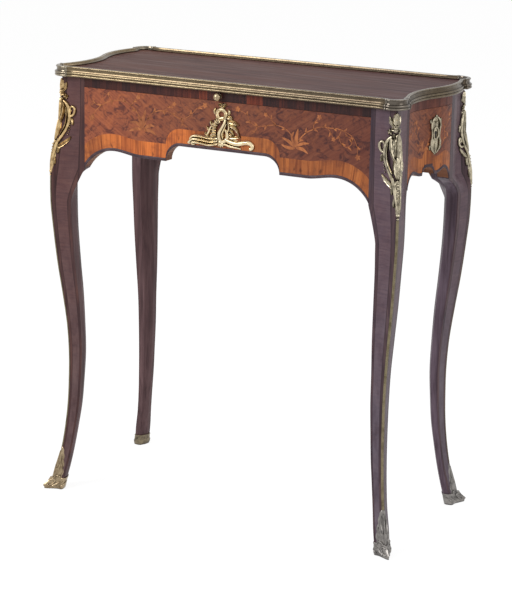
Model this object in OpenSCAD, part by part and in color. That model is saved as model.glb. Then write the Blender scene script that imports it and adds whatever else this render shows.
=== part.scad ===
// Occasional table with a writing slide and an end drawer, in serpentine outline.
// Millimetres, +Z up, front faces -Y, the drawer opens towards +X, origin on the floor under the middle.

/* [Table] */
// Height of the table, from the floor to the lip of the rim
table_h = 730; // [724:1:745]
// Reach of the rounded ears of the top to each side of the middle
ear_reach_x = 316; // [300:1:330]
// Reach of the rounded ears of the top in front of and behind the middle
ear_reach_y = 146; // [140:1:156]
// Radius of the ears at the outermost bead
ear_r = 24; // [20:1:28]
// How far the long straight edges lie behind the ears
front_setback = 5; // [4:0.5:8]
// Radius of the small sweep between an ear and a straight edge
sweep_r = 40; // [30:1:60]

/* [Serpentine ends] */
// Radius of the hollow in the front half of each end
hollow_r = 150; // [140:5:180]
// Place of the deepest point of the hollow
hollow_y = -50; // [-54:1:-46]
// Radius of the swell in the back half of each end
swell_r = 150; // [140:5:170]
// Place of the fullest point of the swell
swell_y = 56; // [52:1:60]
// Radius of the nick between the swell and the back ear
nick_r = 10; // [6:1:14]

/* [Rim] */
// Height of the brass rim
rim_h = 17; // [15:0.5:20]
// Depth of the rim from its outermost bead to the edge of the top board
rim_depth = 7; // [6.5:0.5:9]
// Width of the hollow inner side of the rim, which laps over the edge of the top veneer
lip_w = 5; // [4.5:0.5:6]
// Height of the rim above the top veneer
lip_rise = 6; // [5:0.5:6.5]
// Thickness of the inner edge of the rim
lip_edge = 2; // [1.5:0.1:2.5]
// Radius of the two beads at the foot of the rim
bead_r = 2.1; // [1.8:0.1:2.4]
// Radius of the small bead at the top of the rim
top_bead_r = 1.2; // [1:0.1:1.5]
// Width of a clasp that covers the joint between a length and an ear
clasp_w = 5; // [4:0.5:6]
// How far a clasp stands out from the beads
clasp_proud = 1.2; // [0.8:0.1:1.6]

/* [Boards] */
// Thickness of the sawn veneer
veneer_t = 1; // [0.8:0.1:1.5]
// How far the carcase lies inside the outermost bead of the rim
wall_inset = 10; // [9:0.5:12]
// Thickness of the aprons and the drawer front
apron_t = 20; // [18:0.5:22]
// Height of the band under the rim, where the writing slide runs
band_h = 16; // [15:0.5:18]
// Thickness of the dust panel between the slide and the drawer
dust_t = 8; // [6:0.5:9]
// Running gap round the slide and the drawer
run_gap = 0.5; // [0.3:0.1:0.8]

/* [Aprons] */
// Width of the front face of a leg at the apron
leg_face_x = 44; // [42:0.5:46]
// Half the length of the end panels
end_half = 62; // [60:0.5:64]
// Depth of the long aprons at their middle, below the rim
flat_drop = 95; // [91:1:99]
// Half the length of the raised middle of the long aprons
flat_half = 103; // [95:1:110]
// Half the length of the raised middle of the end panels
end_flat_half = 14; // [13:1:18]
// Radius of the rounded steps of the end panels
end_round_r = 12; // [9:1:13]
// Depth of the lobes beside the raised middle, below the rim
lobe_drop = 122; // [119:1:125]
// Depth of the crown of each arch, below the rim
arch_drop = 116; // [113:1:119]
// Length of an arch along the long aprons, from its crown to the leg
arch_len = 57; // [50:1:60]
// Half width of the full arch under the long aprons, of which the leg cuts off the end
arch_rx = 68; // [64:1:76]
// Height of the full arches
arch_rz = 72; // [66:1:78]
// Length of an arch along the end panels, from its crown to the leg
end_arch_len = 22; // [19:1:24]
// Half width of the full arch under the end panels
end_arch_rx = 27; // [26:1:30]
// Height of the full arches under the end panels
end_arch_rz = 52; // [46:1:54]
// Width of the crossbanding along the lower edge
banding_w = 28; // [24:1:32]
// Height of the dark bead along the lower edge
edge_bead_h = 5; // [4:0.5:6]
// How far the dark bead stands out from the veneer
edge_bead_proud = 1; // [0.6:0.1:1.6]

/* [Legs] */
// How far the corner lines of the legs lie inside the ears, left to right
leg_inset_x = 8; // [4:1:12]
// How far the corner lines of the legs lie inside the ears, front to back
leg_inset_y = 6; // [3:1:9]
// Width of the brass fillet on each side of the outer arris
fillet_w = 3.5; // [3:0.1:4]
// Thickness of the brass fillet
fillet_t = 1.6; // [1.2:0.1:2]
// Thickness of the cast brass of the sabots
sabot_t = 2.2; // [1.8:0.1:2.6]
// Height of the shoe of a sabot
sabot_h = 20; // [18:1:26]
// Height of the pointed leaf of a sabot
sabot_leaf_h = 73; // [66:1:80]
// How far the pointed toe of a sabot stands out from the corner line
toe_reach = 24; // [18:1:26]

/* [Writing slide] */
// Thickness of the slide board
slide_t = 11; // [10:0.5:12]
// Space left behind the slide board when it is pushed in
slide_space = 3; // [2:1:12]
// Diameter of the slide's knob
knob_d = 13; // [11:0.5:15]
// Place of the knob along the slide
knob_x = -6; // [-12:1:12]
// Thickness of the leather writing surface
leather_t = 1; // [0.8:0.1:1.4]

/* [Drawer] */
// Depth of the underside of the drawer box, below the rim
box_drop = 109; // [105:1:111]
// Space between the sides of the drawer box and the dust panel
box_gap = 9.5; // [8:0.5:14]
// Length of the drawer box
box_len = 300; // [260:5:310]
// Thickness of the drawer sides
side_t = 10; // [9:0.5:11]
// Thickness of the drawer bottom
bottom_t = 5; // [4:0.5:6]
// Height of a drawer runner
runner_h = 10; // [8:1:12]
// Depth of the groove for the runner in a drawer side
groove_d = 5; // [4:0.5:6]
// Width of the lock case
lock_w = 38; // [34:1:42]
// Height of the lock case
lock_h = 52; // [50:1:56]
// Thickness of the lock case
lock_t = 8; // [7:0.5:9]
// Width of the lock bolt
bolt_w = 14; // [12:0.5:16]
// Thickness of the lock bolt
bolt_t = 4; // [3.5:0.1:4.5]
// Travel of the lock bolt
bolt_travel = 6; // [5:0.5:7]

/* [Mounts] */
// Width of the mount at the middle of the front
front_mount_w = 117; // [108:1:122]
// Height of the mount at the middle of the front
front_mount_h = 73; // [66:1:74]
// Thickness of the castings on the front and on the drawer
casting_t = 3; // [2.5:0.1:4]
// Height of the escutcheon
escutcheon_h = 66; // [58:1:68]
// Length of the mounts that run down the corners of the legs
corner_mount_h = 165; // [150:5:170]

/* [Hidden] */
// Heights that follow from the sizes above
rim_z = table_h - rim_h;
top_z = table_h - lip_rise;
band_z = rim_z - band_h;
flat_z = rim_z - flat_drop;
lobe_z = rim_z - lobe_drop;
crown_z = rim_z - arch_drop;
box_z = rim_z - box_drop;
// Corner lines of the legs
corner_x = ear_reach_x - leg_inset_x;
corner_y = ear_reach_y - leg_inset_y;
// Longest flat, and widest turn, between two points of a curved outline
step_len = 7;
step_turn = 5;
// Small clearance between pieces that are fitted together by hand
fit_gap = 0.1;
// Clearance at each end of the drawer front
seam_gap = 0.6;
// How far the corner of a leg stands inside the corner line at the level of the apron
corner_in = 7;

// Centres of the circles that make up the plan of the rim, right-hand half, as [x, y]
ear_cx = ear_reach_x - ear_r;
ear_cy = ear_reach_y - ear_r;
front_y = ear_reach_y - front_setback;
sweep_rise = front_y + sweep_r - ear_cy;
sweep_cx = ear_cx - sqrt(pow(ear_r + sweep_r, 2) - pow(sweep_rise, 2));
hollow_c = [ear_cx + sqrt(pow(ear_r + hollow_r, 2) - pow(ear_cy + hollow_y, 2)), hollow_y];
swell_c = [hollow_c[0] - sqrt(pow(hollow_r + swell_r, 2) - pow(swell_y - hollow_y, 2)), swell_y];
front_ear = [ear_cx, -ear_cy];
back_ear = [ear_cx, ear_cy];
front_sweep = [sweep_cx, -front_y - sweep_r];
back_sweep = [sweep_cx, front_y + sweep_r];
nick_c = outer_touch(swell_c, swell_r + nick_r, back_ear, ear_r + nick_r);

// Direction from one point to another, in degrees
function aim(a, b) = atan2(b[1] - a[1], b[0] - a[0]);
// Point at a distance and a direction from a centre
function polar(c, r, a) = c + r * [cos(a), sin(a)];
// The right-hand meeting point of two circles
function outer_touch(a, ra, b, rb) =
    let (d = norm(b - a), along = (ra * ra - rb * rb + d * d) / (2 * d), off = sqrt(ra * ra - along * along),
         u = (b - a) / d)
    a + along * u + off * [u[1], -u[0]];
// Points along an arc, from angle a to angle b
function arc_points(c, r, a, b) =
    let (n = max(2, ceil(abs(b - a) * PI / 180 * r / step_len), ceil(abs(b - a) / step_turn)))
    [for (i = [0 : n]) polar(c, r, a + (b - a) * i / n)];

// Start and end angles of each arc of the right-hand half, front to back
ang_sweep = aim(front_sweep, front_ear);
ang_ear_a = ang_sweep - 180;
ang_ear_b = aim(front_ear, hollow_c);
ang_hollow_a = ang_ear_b + 180;
ang_hollow_b = aim(hollow_c, swell_c);
ang_swell_a = ang_hollow_b - 180;
ang_swell_b = aim(swell_c, nick_c);
ang_nick_a = ang_swell_b + 180;
ang_nick_b = aim(nick_c, back_ear);
ang_back_a = ang_nick_b - 180;
ang_back_b = aim(back_ear, back_sweep);

// Plan outline at a distance inside the outermost bead
function right_half(inset) = concat(
    arc_points(front_sweep, sweep_r + inset, 90, ang_sweep),
    arc_points(front_ear, ear_r - inset, ang_ear_a, ang_ear_b),
    arc_points(hollow_c, hollow_r + inset, ang_hollow_a, ang_hollow_b),
    arc_points(swell_c, swell_r - inset, ang_swell_a, ang_swell_b),
    arc_points(nick_c, nick_r + inset, ang_nick_a, ang_nick_b),
    arc_points(back_ear, ear_r - inset, ang_back_a, ang_back_b),
    arc_points(back_sweep, sweep_r + inset, ang_back_b + 180, 270));
function flip(points) = [for (i = [len(points) - 1 : -1 : 0]) [-points[i][0], points[i][1]]];
function outline(inset) = let (half = right_half(inset)) concat(half, flip(half));

// Where the carcase wall stands at a place along an end, on the right-hand side
function end_x(y, inset) =
    let (turn_y = polar(hollow_c, hollow_r, ang_hollow_b)[1])
    y < turn_y ? hollow_c[0] - sqrt(pow(hollow_r + inset, 2) - pow(y - hollow_y, 2))
               : swell_c[0] + sqrt(pow(swell_r - inset, 2) - pow(y - swell_y, 2));
// Where the carcase wall stands at the front
wall_y = front_y - wall_inset;
inner_y = wall_y - apron_t;
panel_x = corner_x - corner_in - leg_face_x;
// Lock: its place along the end, the place of its keyhole, and the bolt
lock_y = 13;
lock_x = end_x(lock_y, wall_inset + apron_t) - 1;
escutcheon_z = rim_z - 60;
keyhole_rise = 3;
keyhole_z = escutcheon_z + keyhole_rise;
key_d = 5;
key_slot = 1.6 * key_d;
bolt_x = lock_x + 2;
bolt_len = 18;
bolt_free = 8;

// Top: a veneered board inside a brass rim
module top_board() {
    color("saddlebrown")
        translate([0, 0, rim_z])
            linear_extrude(top_z - veneer_t - rim_z) polygon(outline(rim_depth + fit_gap));
}
module top_veneer() {
    color([0.36, 0.27, 0.28])
        translate([0, 0, top_z - veneer_t])
            linear_extrude(veneer_t) polygon(outline(rim_depth + lip_w + fit_gap));
}

// Hairline between two lengths of the rim, which are soldered
rim_joint = 0.03;
// Section of the rim: x is the distance inside the outermost bead, y is the height above the rim's foot
cove_r = rim_h - 4 * bead_r - 2 * top_bead_r;
cove_sink = 0.72;
cove_size = 0.95;
module rim_section() {
    lip_z = rim_h - lip_rise;
    difference() {
        union() {
            translate([bead_r, 0]) square([rim_depth - bead_r, rim_h]);
            translate([bead_r, lip_z - veneer_t]) square([rim_depth + lip_w - bead_r, lip_rise + veneer_t]);
        }
        translate([bead_r - cove_r * cove_sink, 4 * bead_r + cove_r / 2])
            circle(cove_r * cove_size, $fn = 48);
        translate([rim_depth + lip_w, rim_h]) circle(lip_rise - lip_edge, $fn = 48);
    }
    for (i = [0, 1]) translate([bead_r, bead_r * (2 * i + 1)]) circle(bead_r, $fn = 32);
    translate([bead_r + top_bead_r, rim_h - top_bead_r]) circle(top_bead_r, $fn = 24);
    translate([bead_r + top_bead_r, rim_h - 2 * top_bead_r]) square([rim_depth - 2 * bead_r, 2 * top_bead_r]);
}
// A stretch of rim round a centre: a positive side turns round the table, a negative one bends inwards
module rim_arc(c, r, a, b, side) {
    hairline = rim_joint / r * 180 / PI;
    translate([c[0], c[1], rim_z])
        rotate([0, 0, min(a, b) + hairline / 2])
            rotate_extrude(angle = abs(b - a) - hairline, $fn = 180)
                translate([r, 0]) scale_x(-side) rim_section();
}
module scale_x(s) {
    if (s < 0) mirror([1, 0, 0]) children();
    else children();
}
module rim_straight() {
    translate([-sweep_cx, 0, rim_z])
        rotate([90, 0, 90])
            linear_extrude(2 * sweep_cx)
                translate([-front_y, 0]) rim_section();
}
module rim_length() {
    rim_straight();
    for (m = [0, 1]) mirror([m, 0, 0]) rim_arc(front_sweep, sweep_r, 90, ang_sweep, -1);
}
module rim_end() {
    rim_arc(hollow_c, hollow_r, ang_hollow_a, ang_hollow_b, -1);
    rim_arc(swell_c, swell_r, ang_swell_a, ang_swell_b, 1);
    rim_arc(nick_c, nick_r, ang_nick_a, ang_nick_b, -1);
}
module rim_front() { color("darkkhaki") rim_length(); }
module rim_back() { color("darkkhaki") mirror([0, 1, 0]) rim_length(); }
module rim_right() { color("darkkhaki") rim_end(); }
module rim_left() { color("darkkhaki") mirror([1, 0, 0]) rim_end(); }
module rim_ears() {
    color("khaki")
        for (m = [0, 1]) mirror([m, 0, 0]) {
            rim_arc(front_ear, ear_r, ang_ear_a, ang_ear_b, 1);
            rim_arc(back_ear, ear_r, ang_back_a, ang_back_b, 1);
        }
}
// A clasp is a strap over the joint between an ear and the next length, drawn round the ear's own centre
module clasp(ear, angle, turn) {
    span = clasp_w / ear_r * 180 / PI;
    translate([ear[0], ear[1], rim_z])
        rotate([0, 0, turn > 0 ? angle : angle - span])
            rotate_extrude(angle = span, $fn = 360)
                translate([ear_r, 0]) square([clasp_proud, rim_h]);
}
module rim_clasps() {
    color("gold")
        for (m = [0, 1]) mirror([m, 0, 0]) {
            clasp(front_ear, ang_ear_a, 1);
            clasp(front_ear, ang_ear_b, -1);
            clasp(back_ear, ang_back_a, 1);
            clasp(back_ear, ang_back_b, -1);
        }
}

// Lower edge of a panel, from its middle to the leg, as [place along the panel, height]
function ease(t) = t * t * (3 - 2 * t);
function edge_half(half, round_r, crown, rx, rz, end) =
    let (dip = min(50, (crown - half) * 0.8))
    concat([[0, lobe_z + round_r]],
        [for (a = [90 : -10 : 0]) [half - round_r + round_r * cos(a), lobe_z + round_r * sin(a)]],
        [for (t = [0 : 0.2 : 1]) [crown - dip * (1 - t), lobe_z + (crown_z - lobe_z) * ease(t)]],
        [for (i = [1 : 8]) let (x = (end - crown) * sin(i * 90 / 8))
            [crown + x, crown_z - rz * (1 - sqrt(1 - pow(x / rx, 2)))]]);
function both_sides(points) =
    concat([for (i = [len(points) - 1 : -1 : 1]) [-points[i][0], points[i][1]]], points);
long_edge = edge_half(flat_half, flat_z - lobe_z, panel_x - arch_len, arch_rx, arch_rz, panel_x);
end_edge = edge_half(end_flat_half, end_round_r, end_half - end_arch_len, end_arch_rx, end_arch_rz, end_half);
// Sideways share of the band that follows a lower edge, at its ends
band_lean = 0.3;

// Elevation above a lower edge that is raised by some distance, up to a level. The raised edge leans
// towards the legs.
module above(edge, up, top) {
    last = edge[len(edge) - 1][0];
    lean = up * band_lean;
    all = both_sides([for (p = edge) [p[0] + lean * pow(p[0] / last, 6), p[1] + up]]);
    intersection() {
        polygon(concat(all, [[last + lean, top], [-last - lean, top]]));
        translate([-last, 0]) square([2 * last, top]);
    }
}
// Elevation of a strip that follows the lower edge
module strip(edge, low, high) {
    difference() {
        above(edge, low, rim_z);
        above(edge, high, rim_z);
    }
}
// Boards and veneers of the long sides stand between two distances behind the wall
module long_slab(near, far) {
    translate([0, -wall_y + far, 0]) rotate([90, 0, 0]) linear_extrude(far - near) children();
}
// Boards and veneers of the ends follow the serpentine wall between two insets
function end_strip(inset, thick, half) =
    let (n = 24, ys = [for (i = [0 : n]) -half + 2 * half * i / n])
    concat([for (y = ys) [end_x(y, inset), y]],
        [for (i = [n : -1 : 0]) [end_x(ys[i], inset + thick), ys[i]]]);
module end_slab(inset, thick, half) {
    intersection() {
        linear_extrude(table_h) polygon(end_strip(inset, thick, half));
        rotate([90, 0, 90]) linear_extrude(ear_reach_x) children();
    }
}

// Long aprons with their veneers
module apron_board(top) { color("peru") long_slab(veneer_t, apron_t) above(long_edge, 0, top); }
module marquetry_face(top) {
    color([0.52, 0.28, 0.21]) long_slab(0, veneer_t) above(long_edge, banding_w, top);
}
module banding_face() {
    color([0.68, 0.42, 0.25]) long_slab(0, veneer_t) strip(long_edge, edge_bead_h, banding_w);
}
module edge_bead_face() {
    color([0.33, 0.26, 0.29]) long_slab(-edge_bead_proud, veneer_t) strip(long_edge, 0, edge_bead_h);
}
module front_apron() { apron_board(band_z); }
module front_marquetry() { marquetry_face(band_z); }
module front_banding() { banding_face(); }
module front_edge_bead() { edge_bead_face(); }
module back_apron() { mirror([0, 1, 0]) apron_board(rim_z); }
module back_marquetry() { mirror([0, 1, 0]) marquetry_face(rim_z); }
module back_banding() { mirror([0, 1, 0]) banding_face(); }
module back_edge_bead() { mirror([0, 1, 0]) edge_bead_face(); }

// Left end: fixed, and veneered like the drawer front at the right end
module end_banding(half) {
    color([0.68, 0.42, 0.25]) end_slab(wall_inset, veneer_t, half) strip(end_edge, edge_bead_h, banding_w);
}
module end_bead(half) {
    color([0.33, 0.26, 0.29])
        end_slab(wall_inset - edge_bead_proud, veneer_t + edge_bead_proud, half)
            strip(end_edge, 0, edge_bead_h);
}
module left_apron() {
    color("peru") mirror([1, 0, 0])
        end_slab(wall_inset + veneer_t, apron_t - veneer_t, end_half) above(end_edge, 0, rim_z);
}
module left_marquetry() {
    color([0.52, 0.28, 0.21]) mirror([1, 0, 0])
        end_slab(wall_inset, veneer_t, end_half) above(end_edge, banding_w, rim_z);
}
module left_banding() { mirror([1, 0, 0]) end_banding(end_half); }
module left_edge_bead() { mirror([1, 0, 0]) end_bead(end_half); }

// Right end: a rail over the drawer, with the mortise for the lock bolt in its underside
module right_top_rail() {
    color("peru")
        difference() {
            translate([0, 0, band_z]) linear_extrude(band_h)
                polygon(end_strip(wall_inset, apron_t, end_half));
            translate([bolt_x - run_gap, lock_y - bolt_w / 2 - run_gap, band_z - 1])
                cube([bolt_t + 2 * run_gap, bolt_w + 2 * run_gap, bolt_travel + 3]);
        }
}

// Inner boards that carry the slide and the drawer
dust_z = band_z + run_gap - dust_t;
module dust_panel() {
    color("tan")
        translate([-panel_x, -inner_y, dust_z]) cube([2 * panel_x, 2 * inner_y, dust_t]);
}
// Stops at the front catch the tabs at the back of the slide board
stop_len = 10;
stop_w = 6;
tab_len = 20;
tab_reach = panel_x - 1.5;
board_half = tab_reach - stop_w + 1;
stop_y = -inner_y + 2;
module slide_stops() {
    color("tan")
        for (m = [0, 1]) mirror([m, 0, 0])
            translate([panel_x - stop_w + run_gap, stop_y, dust_z + dust_t])
                cube([stop_w - run_gap, stop_len, rim_z - dust_z - dust_t]);
}
// The drawer hangs on runners that stand in grooves in its sides
side_in = 6;
box_x = end_x(0, wall_inset + apron_t) - box_len;
box_h = dust_z - box_gap - box_z;
side_y = end_half - side_in;
guide_y = side_y + 3 * run_gap;
guide_t = 8;
guide_end = end_x(-end_half, wall_inset + apron_t) - 1;
bearer_t = 8;
bearer_space = 46;
bearer_x = box_x - bearer_space;
bearer_drop = 18;
module drawer_guides() {
    color("tan")
        for (m = [0, 1]) mirror([0, m, 0])
            translate([bearer_x + bearer_t, guide_y, box_z + 2])
                cube([guide_end - bearer_x - bearer_t, guide_t, dust_z - box_z - 2]);
}
runner_z = box_z + box_h / 2;
module drawer_runners() {
    color("burlywood")
        for (m = [0, 1]) mirror([0, m, 0])
            translate([bearer_x + bearer_t, side_y - groove_d + run_gap, runner_z - runner_h / 2])
                cube([guide_end - bearer_x - bearer_t - 8, guide_y - side_y + groove_d - run_gap, runner_h]);
}
module drawer_bearer() {
    color("tan")
        translate([bearer_x, -inner_y, box_z + bearer_drop])
            cube([bearer_t, 2 * inner_y, dust_z - box_z - bearer_drop]);
}
stop_in = 42;
stop_x = box_x + box_len - stop_in;
module drawer_stop() {
    color("tan")
        translate([stop_x, -stop_len, box_z + box_h + 1]) cube([stop_len, 2 * stop_len, box_gap - 1]);
}
// Glue blocks behind the slide, under the top, with the screws that hold the top
block = 14;
block_len = 50;
block_places = [for (i = [-1 : 1]) i * 0.66 * panel_x];
module glue_blocks() {
    color("tan")
        for (x = block_places) translate([x - block_len / 2, inner_y - block, rim_z - block])
            cube([block_len, block, block]);
}
screw_d = 3.5;
screw_head_d = 7;
screw_head_h = 1.5;
screw_bite = 8;
module top_screws() {
    color("gray")
        for (x = block_places) translate([x, inner_y - block / 2, rim_z - block - screw_head_h]) {
            cylinder(d = screw_head_d, h = screw_head_h, $fn = 32);
            translate([0, 0, screw_head_h]) cylinder(d = screw_d, h = block + screw_bite, $fn = 32);
        }
}

// Writing slide: a front, and a board with a sunk leather
slide_front_t = 10;
slide_z = band_z + 2 * run_gap;
slide_y = -wall_y + slide_front_t;
slide_depth = inner_y - block - slide_space - slide_y;
leather_margin = 26;
leather_lead = 18;
leather_x = board_half - leather_margin;
leather_depth = slide_depth - leather_margin - leather_lead;
module slide_front() {
    color([0.35, 0.18, 0.14])
        translate([-panel_x + run_gap, -wall_y, band_z + run_gap])
            cube([2 * (panel_x - run_gap), slide_front_t, band_h - 2 * run_gap]);
}
module slide_board() {
    color("sienna")
        translate([0, slide_y, slide_z]) difference() {
            union() {
                translate([-board_half, 0, 0]) cube([2 * board_half, slide_depth, slide_t]);
                translate([-tab_reach, slide_depth - tab_len, 0]) cube([2 * tab_reach, tab_len, slide_t]);
            }
            translate([-leather_x, leather_lead, slide_t - leather_t])
                cube([2 * leather_x, leather_depth, leather_t + 1]);
        }
}
module slide_leather() {
    color([0.35, 0.08, 0.08])
        translate([-leather_x, slide_y + leather_lead, slide_z + slide_t - leather_t])
            cube([2 * leather_x, leather_depth, leather_t]);
}
module slide_knob() {
    color("gold")
        translate([knob_x, -wall_y, band_z + band_h / 2]) rotate([90, 0, 0])
            rotate_extrude($fn = 48) knob_section();
}
// Section of the knob: a base, a neck and a flattened ball
knob_neck = 4;
knob_flat = 0.72;
module knob_section() {
    r = knob_d / 2;
    polygon(concat([[0, 0], [0.62 * r, 0], [0.62 * r, 0.25 * knob_neck], [0.36 * r, 0.55 * knob_neck],
        [0.4 * r, knob_neck]],
        [for (a = [-55 : 11 : 90]) [r * cos(a), knob_neck + knob_flat * r * (1 + sin(a))]]));
}

// Drawer
front_half = end_half - seam_gap;
front_top = band_z - run_gap;
module drawer_front() {
    color("peru")
        difference() {
            end_slab(wall_inset + veneer_t, apron_t - veneer_t, front_half) above(end_edge, 0, front_top);
            translate([lock_x + lock_t - apron_t, lock_y - lock_w / 2, front_top - lock_h])
                cube([apron_t, lock_w, lock_h + 1]);
            keyhole();
        }
}
module keyhole() {
    translate([lock_x, lock_y, keyhole_z]) rotate([0, 90, 0]) cylinder(d = key_d, h = 2 * apron_t, $fn = 32);
    translate([lock_x, lock_y - key_d / 4, keyhole_z - key_slot]) cube([2 * apron_t, key_d / 2, key_slot]);
}
module drawer_marquetry() {
    color([0.52, 0.28, 0.21])
        difference() {
            end_slab(wall_inset, veneer_t, front_half) above(end_edge, banding_w, front_top);
            keyhole();
        }
}
module drawer_banding() { end_banding(front_half); }
module drawer_edge_bead() { end_bead(front_half); }
groove_z = runner_z - (runner_h + run_gap) / 2;
function box_front_x(y) = end_x(y, wall_inset + apron_t) - fit_gap;
module drawer_sides() {
    color("burlywood")
        for (s = [-1, 1]) difference() {
            translate([0, 0, box_z]) linear_extrude(box_h) side_plan(s);
            translate([box_x - 1, s > 0 ? side_y - groove_d : -side_y - 1, groove_z])
                cube([box_len + 2 * apron_t, groove_d + 1, runner_h + run_gap]);
        }
}
module side_plan(s) {
    a = s * (side_y - side_t);
    b = s * side_y;
    polygon([[box_x, a], [box_front_x(a), a], [box_front_x((a + b) / 2), (a + b) / 2], [box_front_x(b), b],
        [box_x, b]]);
}
back_t = 8;
back_rise = 4;
module drawer_back() {
    color("burlywood")
        translate([box_x, -side_y + side_t, box_z]) cube([back_t, 2 * (side_y - side_t), box_h + back_rise]);
}
module drawer_bottom() {
    n = 20;
    half = side_y - side_t;
    ys = [for (i = [0 : n]) -half + 2 * half * i / n];
    color("burlywood")
        translate([0, 0, box_z + 2]) linear_extrude(bottom_t)
            polygon(concat([for (y = ys) [box_front_x(y), y]],
                [[box_x + back_t, half], [box_x + back_t, -half]]));
}
// Lock: the case is let into the back of the drawer front, and the bolt rises into the rail
module lock_case() {
    color("goldenrod")
        difference() {
            translate([lock_x, lock_y - lock_w / 2, front_top - lock_h]) cube([lock_t, lock_w, lock_h]);
            translate([bolt_x - fit_gap, lock_y - bolt_w / 2 - fit_gap, front_top - bolt_len - bolt_free])
                cube([bolt_t + 2 * fit_gap, bolt_w + 2 * fit_gap, bolt_len + bolt_free + 1]);
            translate([lock_x + bolt_t + run_gap, lock_y, keyhole_z]) rotate([0, 90, 0])
                cylinder(d = key_d, h = lock_t, $fn = 32);
        }
}
module lock_bolt() {
    color("silver")
        translate([bolt_x, lock_y - bolt_w / 2, front_top - bolt_len]) cube([bolt_t, bolt_w, bolt_len]);
}

// Legs. Each is worked out for the back right corner, with y taken as the distance from the middle of the
// table. A leg is free up to its knee, and is a post between the aprons above that.
knee_z = crown_z - 92;
arch_z = crown_z - 67;
post_z = crown_z - 35;
end_post_z = crown_z - 23;
foot_share = 0.004;
// Stations of the free leg: a share of the height of the knee, then the outer and the inner edge of the
// section, measured outwards along the diagonal from the corner line
free_stations = [[foot_share, 12, -14], [0.069, 4, -23.5], [0.139, -6, -31.5], [0.218, -13, -39],
    [0.297, -17.5, -45.5], [0.376, -19.5, -49], [0.475, -20, -52], [0.574, -17, -51], [0.683, -9.5, -48.5],
    [0.792, -1, -44], [0.911, 6, -40], [1, 10, -39]];
// Stations of the post, with their depth below the rim instead of the share
post_stations = [[rim_z - post_z, 9.5, -39], [113, 3, -39], [73, -6, -39], [0, -10, -39]];
leg_stations = concat([for (p = free_stations) [p[0] * knee_z, p[1], p[2]]],
    [for (p = post_stations) [rim_z - p[0], p[1], p[2]]]);
// Levels of the rings of points of a leg
free_step = 18;
post_step = 6;
leg_foot_z = foot_share * knee_z;
leg_levels = concat(leg_foot_z, 10, 20, 30, [for (z = [44 : free_step : knee_z - free_step / 2]) z],
    [knee_z, knee_z + 13], [for (i = [0 : 5]) arch_z + (post_z - arch_z) * i / 5], [post_z + post_step],
    [for (i = [0 : 4]) end_post_z + post_step * i], [for (i = [18 : -1 : 0]) rim_z - post_step * i]);
diag = [1, 1] / sqrt(2);
across = [-1, 1] / sqrt(2);
corner = [corner_x, corner_y];
function unit(v) = v / norm(v);
function slope(k, i) =
    let (a = leg_stations[max(0, i - 1)], b = leg_stations[min(len(leg_stations) - 1, i + 1)])
    (b[k] - a[k]) / (b[0] - a[0]);
function profile(k, z) =
    let (i = max([for (j = [0 : len(leg_stations) - 2]) if (leg_stations[j][0] <= z) j]),
         a = leg_stations[i], b = leg_stations[i + 1], h = b[0] - a[0], t = (z - a[0]) / h)
    a[k] * (1 + 2 * t) * pow(1 - t, 2) + slope(k, i) * h * t * pow(1 - t, 2)
    + b[k] * t * t * (3 - 2 * t) + slope(k, i + 1) * h * t * t * (t - 1);
function edge_point(z) = corner + profile(1, z) * diag;
// How far a place on the leg has turned from the free leg below into the post between the aprons
function turned(z, from, to, power) = pow(max(0, min(1, (z - from) / (to - from))), power);
// Ten points round the section of a leg at a height, from the front or back face round to the end face
function leg_ring(z, side) =
    let (o = edge_point(z), n = corner + profile(2, z) * diag, mid = (o + n) / 2, half = norm(o - n) / 2,
         t = turned(z, knee_z, post_z, 1.25), t_in = turned(z, arch_z, post_z, 2.5),
         t_end = turned(z, arch_z + 5, end_post_z, 2.2),
         wall_end = end_x(side * end_half, wall_inset),
         l1 = (1 - t) * (mid + half * (across - 0.22 * diag)) + t * [panel_x, wall_y],
         l1_in = (1 - t_in) * (mid + half * (0.5 * across - 0.7 * diag)) + t_in * [panel_x, inner_y],
         n_in = (1 - t_in) * (mid - 0.93 * half * diag) + t_in * n,
         l2_in = (1 - t_end) * (mid - half * (0.55 * across + 1.02 * diag))
             + t_end * [wall_end - apron_t, end_half],
         l2 = (1 - t_end) * (mid - half * (1.02 * across + 0.38 * diag)) + t_end * [wall_end, end_half],
         o1 = o - [fillet_w, 0], o2 = o - [0, fillet_w],
         s1 = follow(o2 + (l2 - o2) * 0.33, side, t_end), s2 = follow(o2 + (l2 - o2) * 0.67, side, t_end))
    [o1, (o1 + l1) / 2, l1, l1_in, n_in, l2_in, l2, s2, s1, o2];
// Bends a point of the end face of a leg towards the serpentine wall
function follow(p, side, t) =
    let (share = 0.7 * t) [(1 - share) * p[0] + share * min(p[0], end_x(side * p[1], wall_inset)), p[1]];
function raise(ring, z) = [for (p = ring) [p[0], p[1], z]];
// Triangles across an end of n points, in a zigzag that starts between one point and the point before it
function zigzag(n, start) =
    [for (k = [0 : n - 3])
        let (a = (start + floor(k / 2)) % n, b = (n + start - 1 - floor(k / 2)) % n, c = (b + n - 1) % n)
        k % 2 == 0 ? [b, a, c] : [a, (a + 1) % n, c]];
function turned_over(face) = [for (j = [len(face) - 1 : -1 : 0]) face[j]];
// Solid through a list of rings. Its ends are closed with these faces, or with one face each.
module loft(rings, ends = []) {
    n = len(rings[0]);
    m = len(rings);
    end = len(ends) > 0 ? ends : [[for (j = [0 : n - 1]) j]];
    polyhedron(
        points = [for (ring = rings) each ring],
        faces = concat(end, [for (face = end) turned_over([for (j = face) (m - 1) * n + j])],
            [for (i = [0 : m - 2], j = [0 : n - 1], k = [0, 1])
                let (a = i * n + j, b = i * n + (j + 1) % n)
                k == 0 ? [a, a + n, b + n] : [a, b + n, b]]));
}
module leg_solid(side) { loft([for (z = leg_levels) raise(leg_ring(z, side), z)]); }
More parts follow.
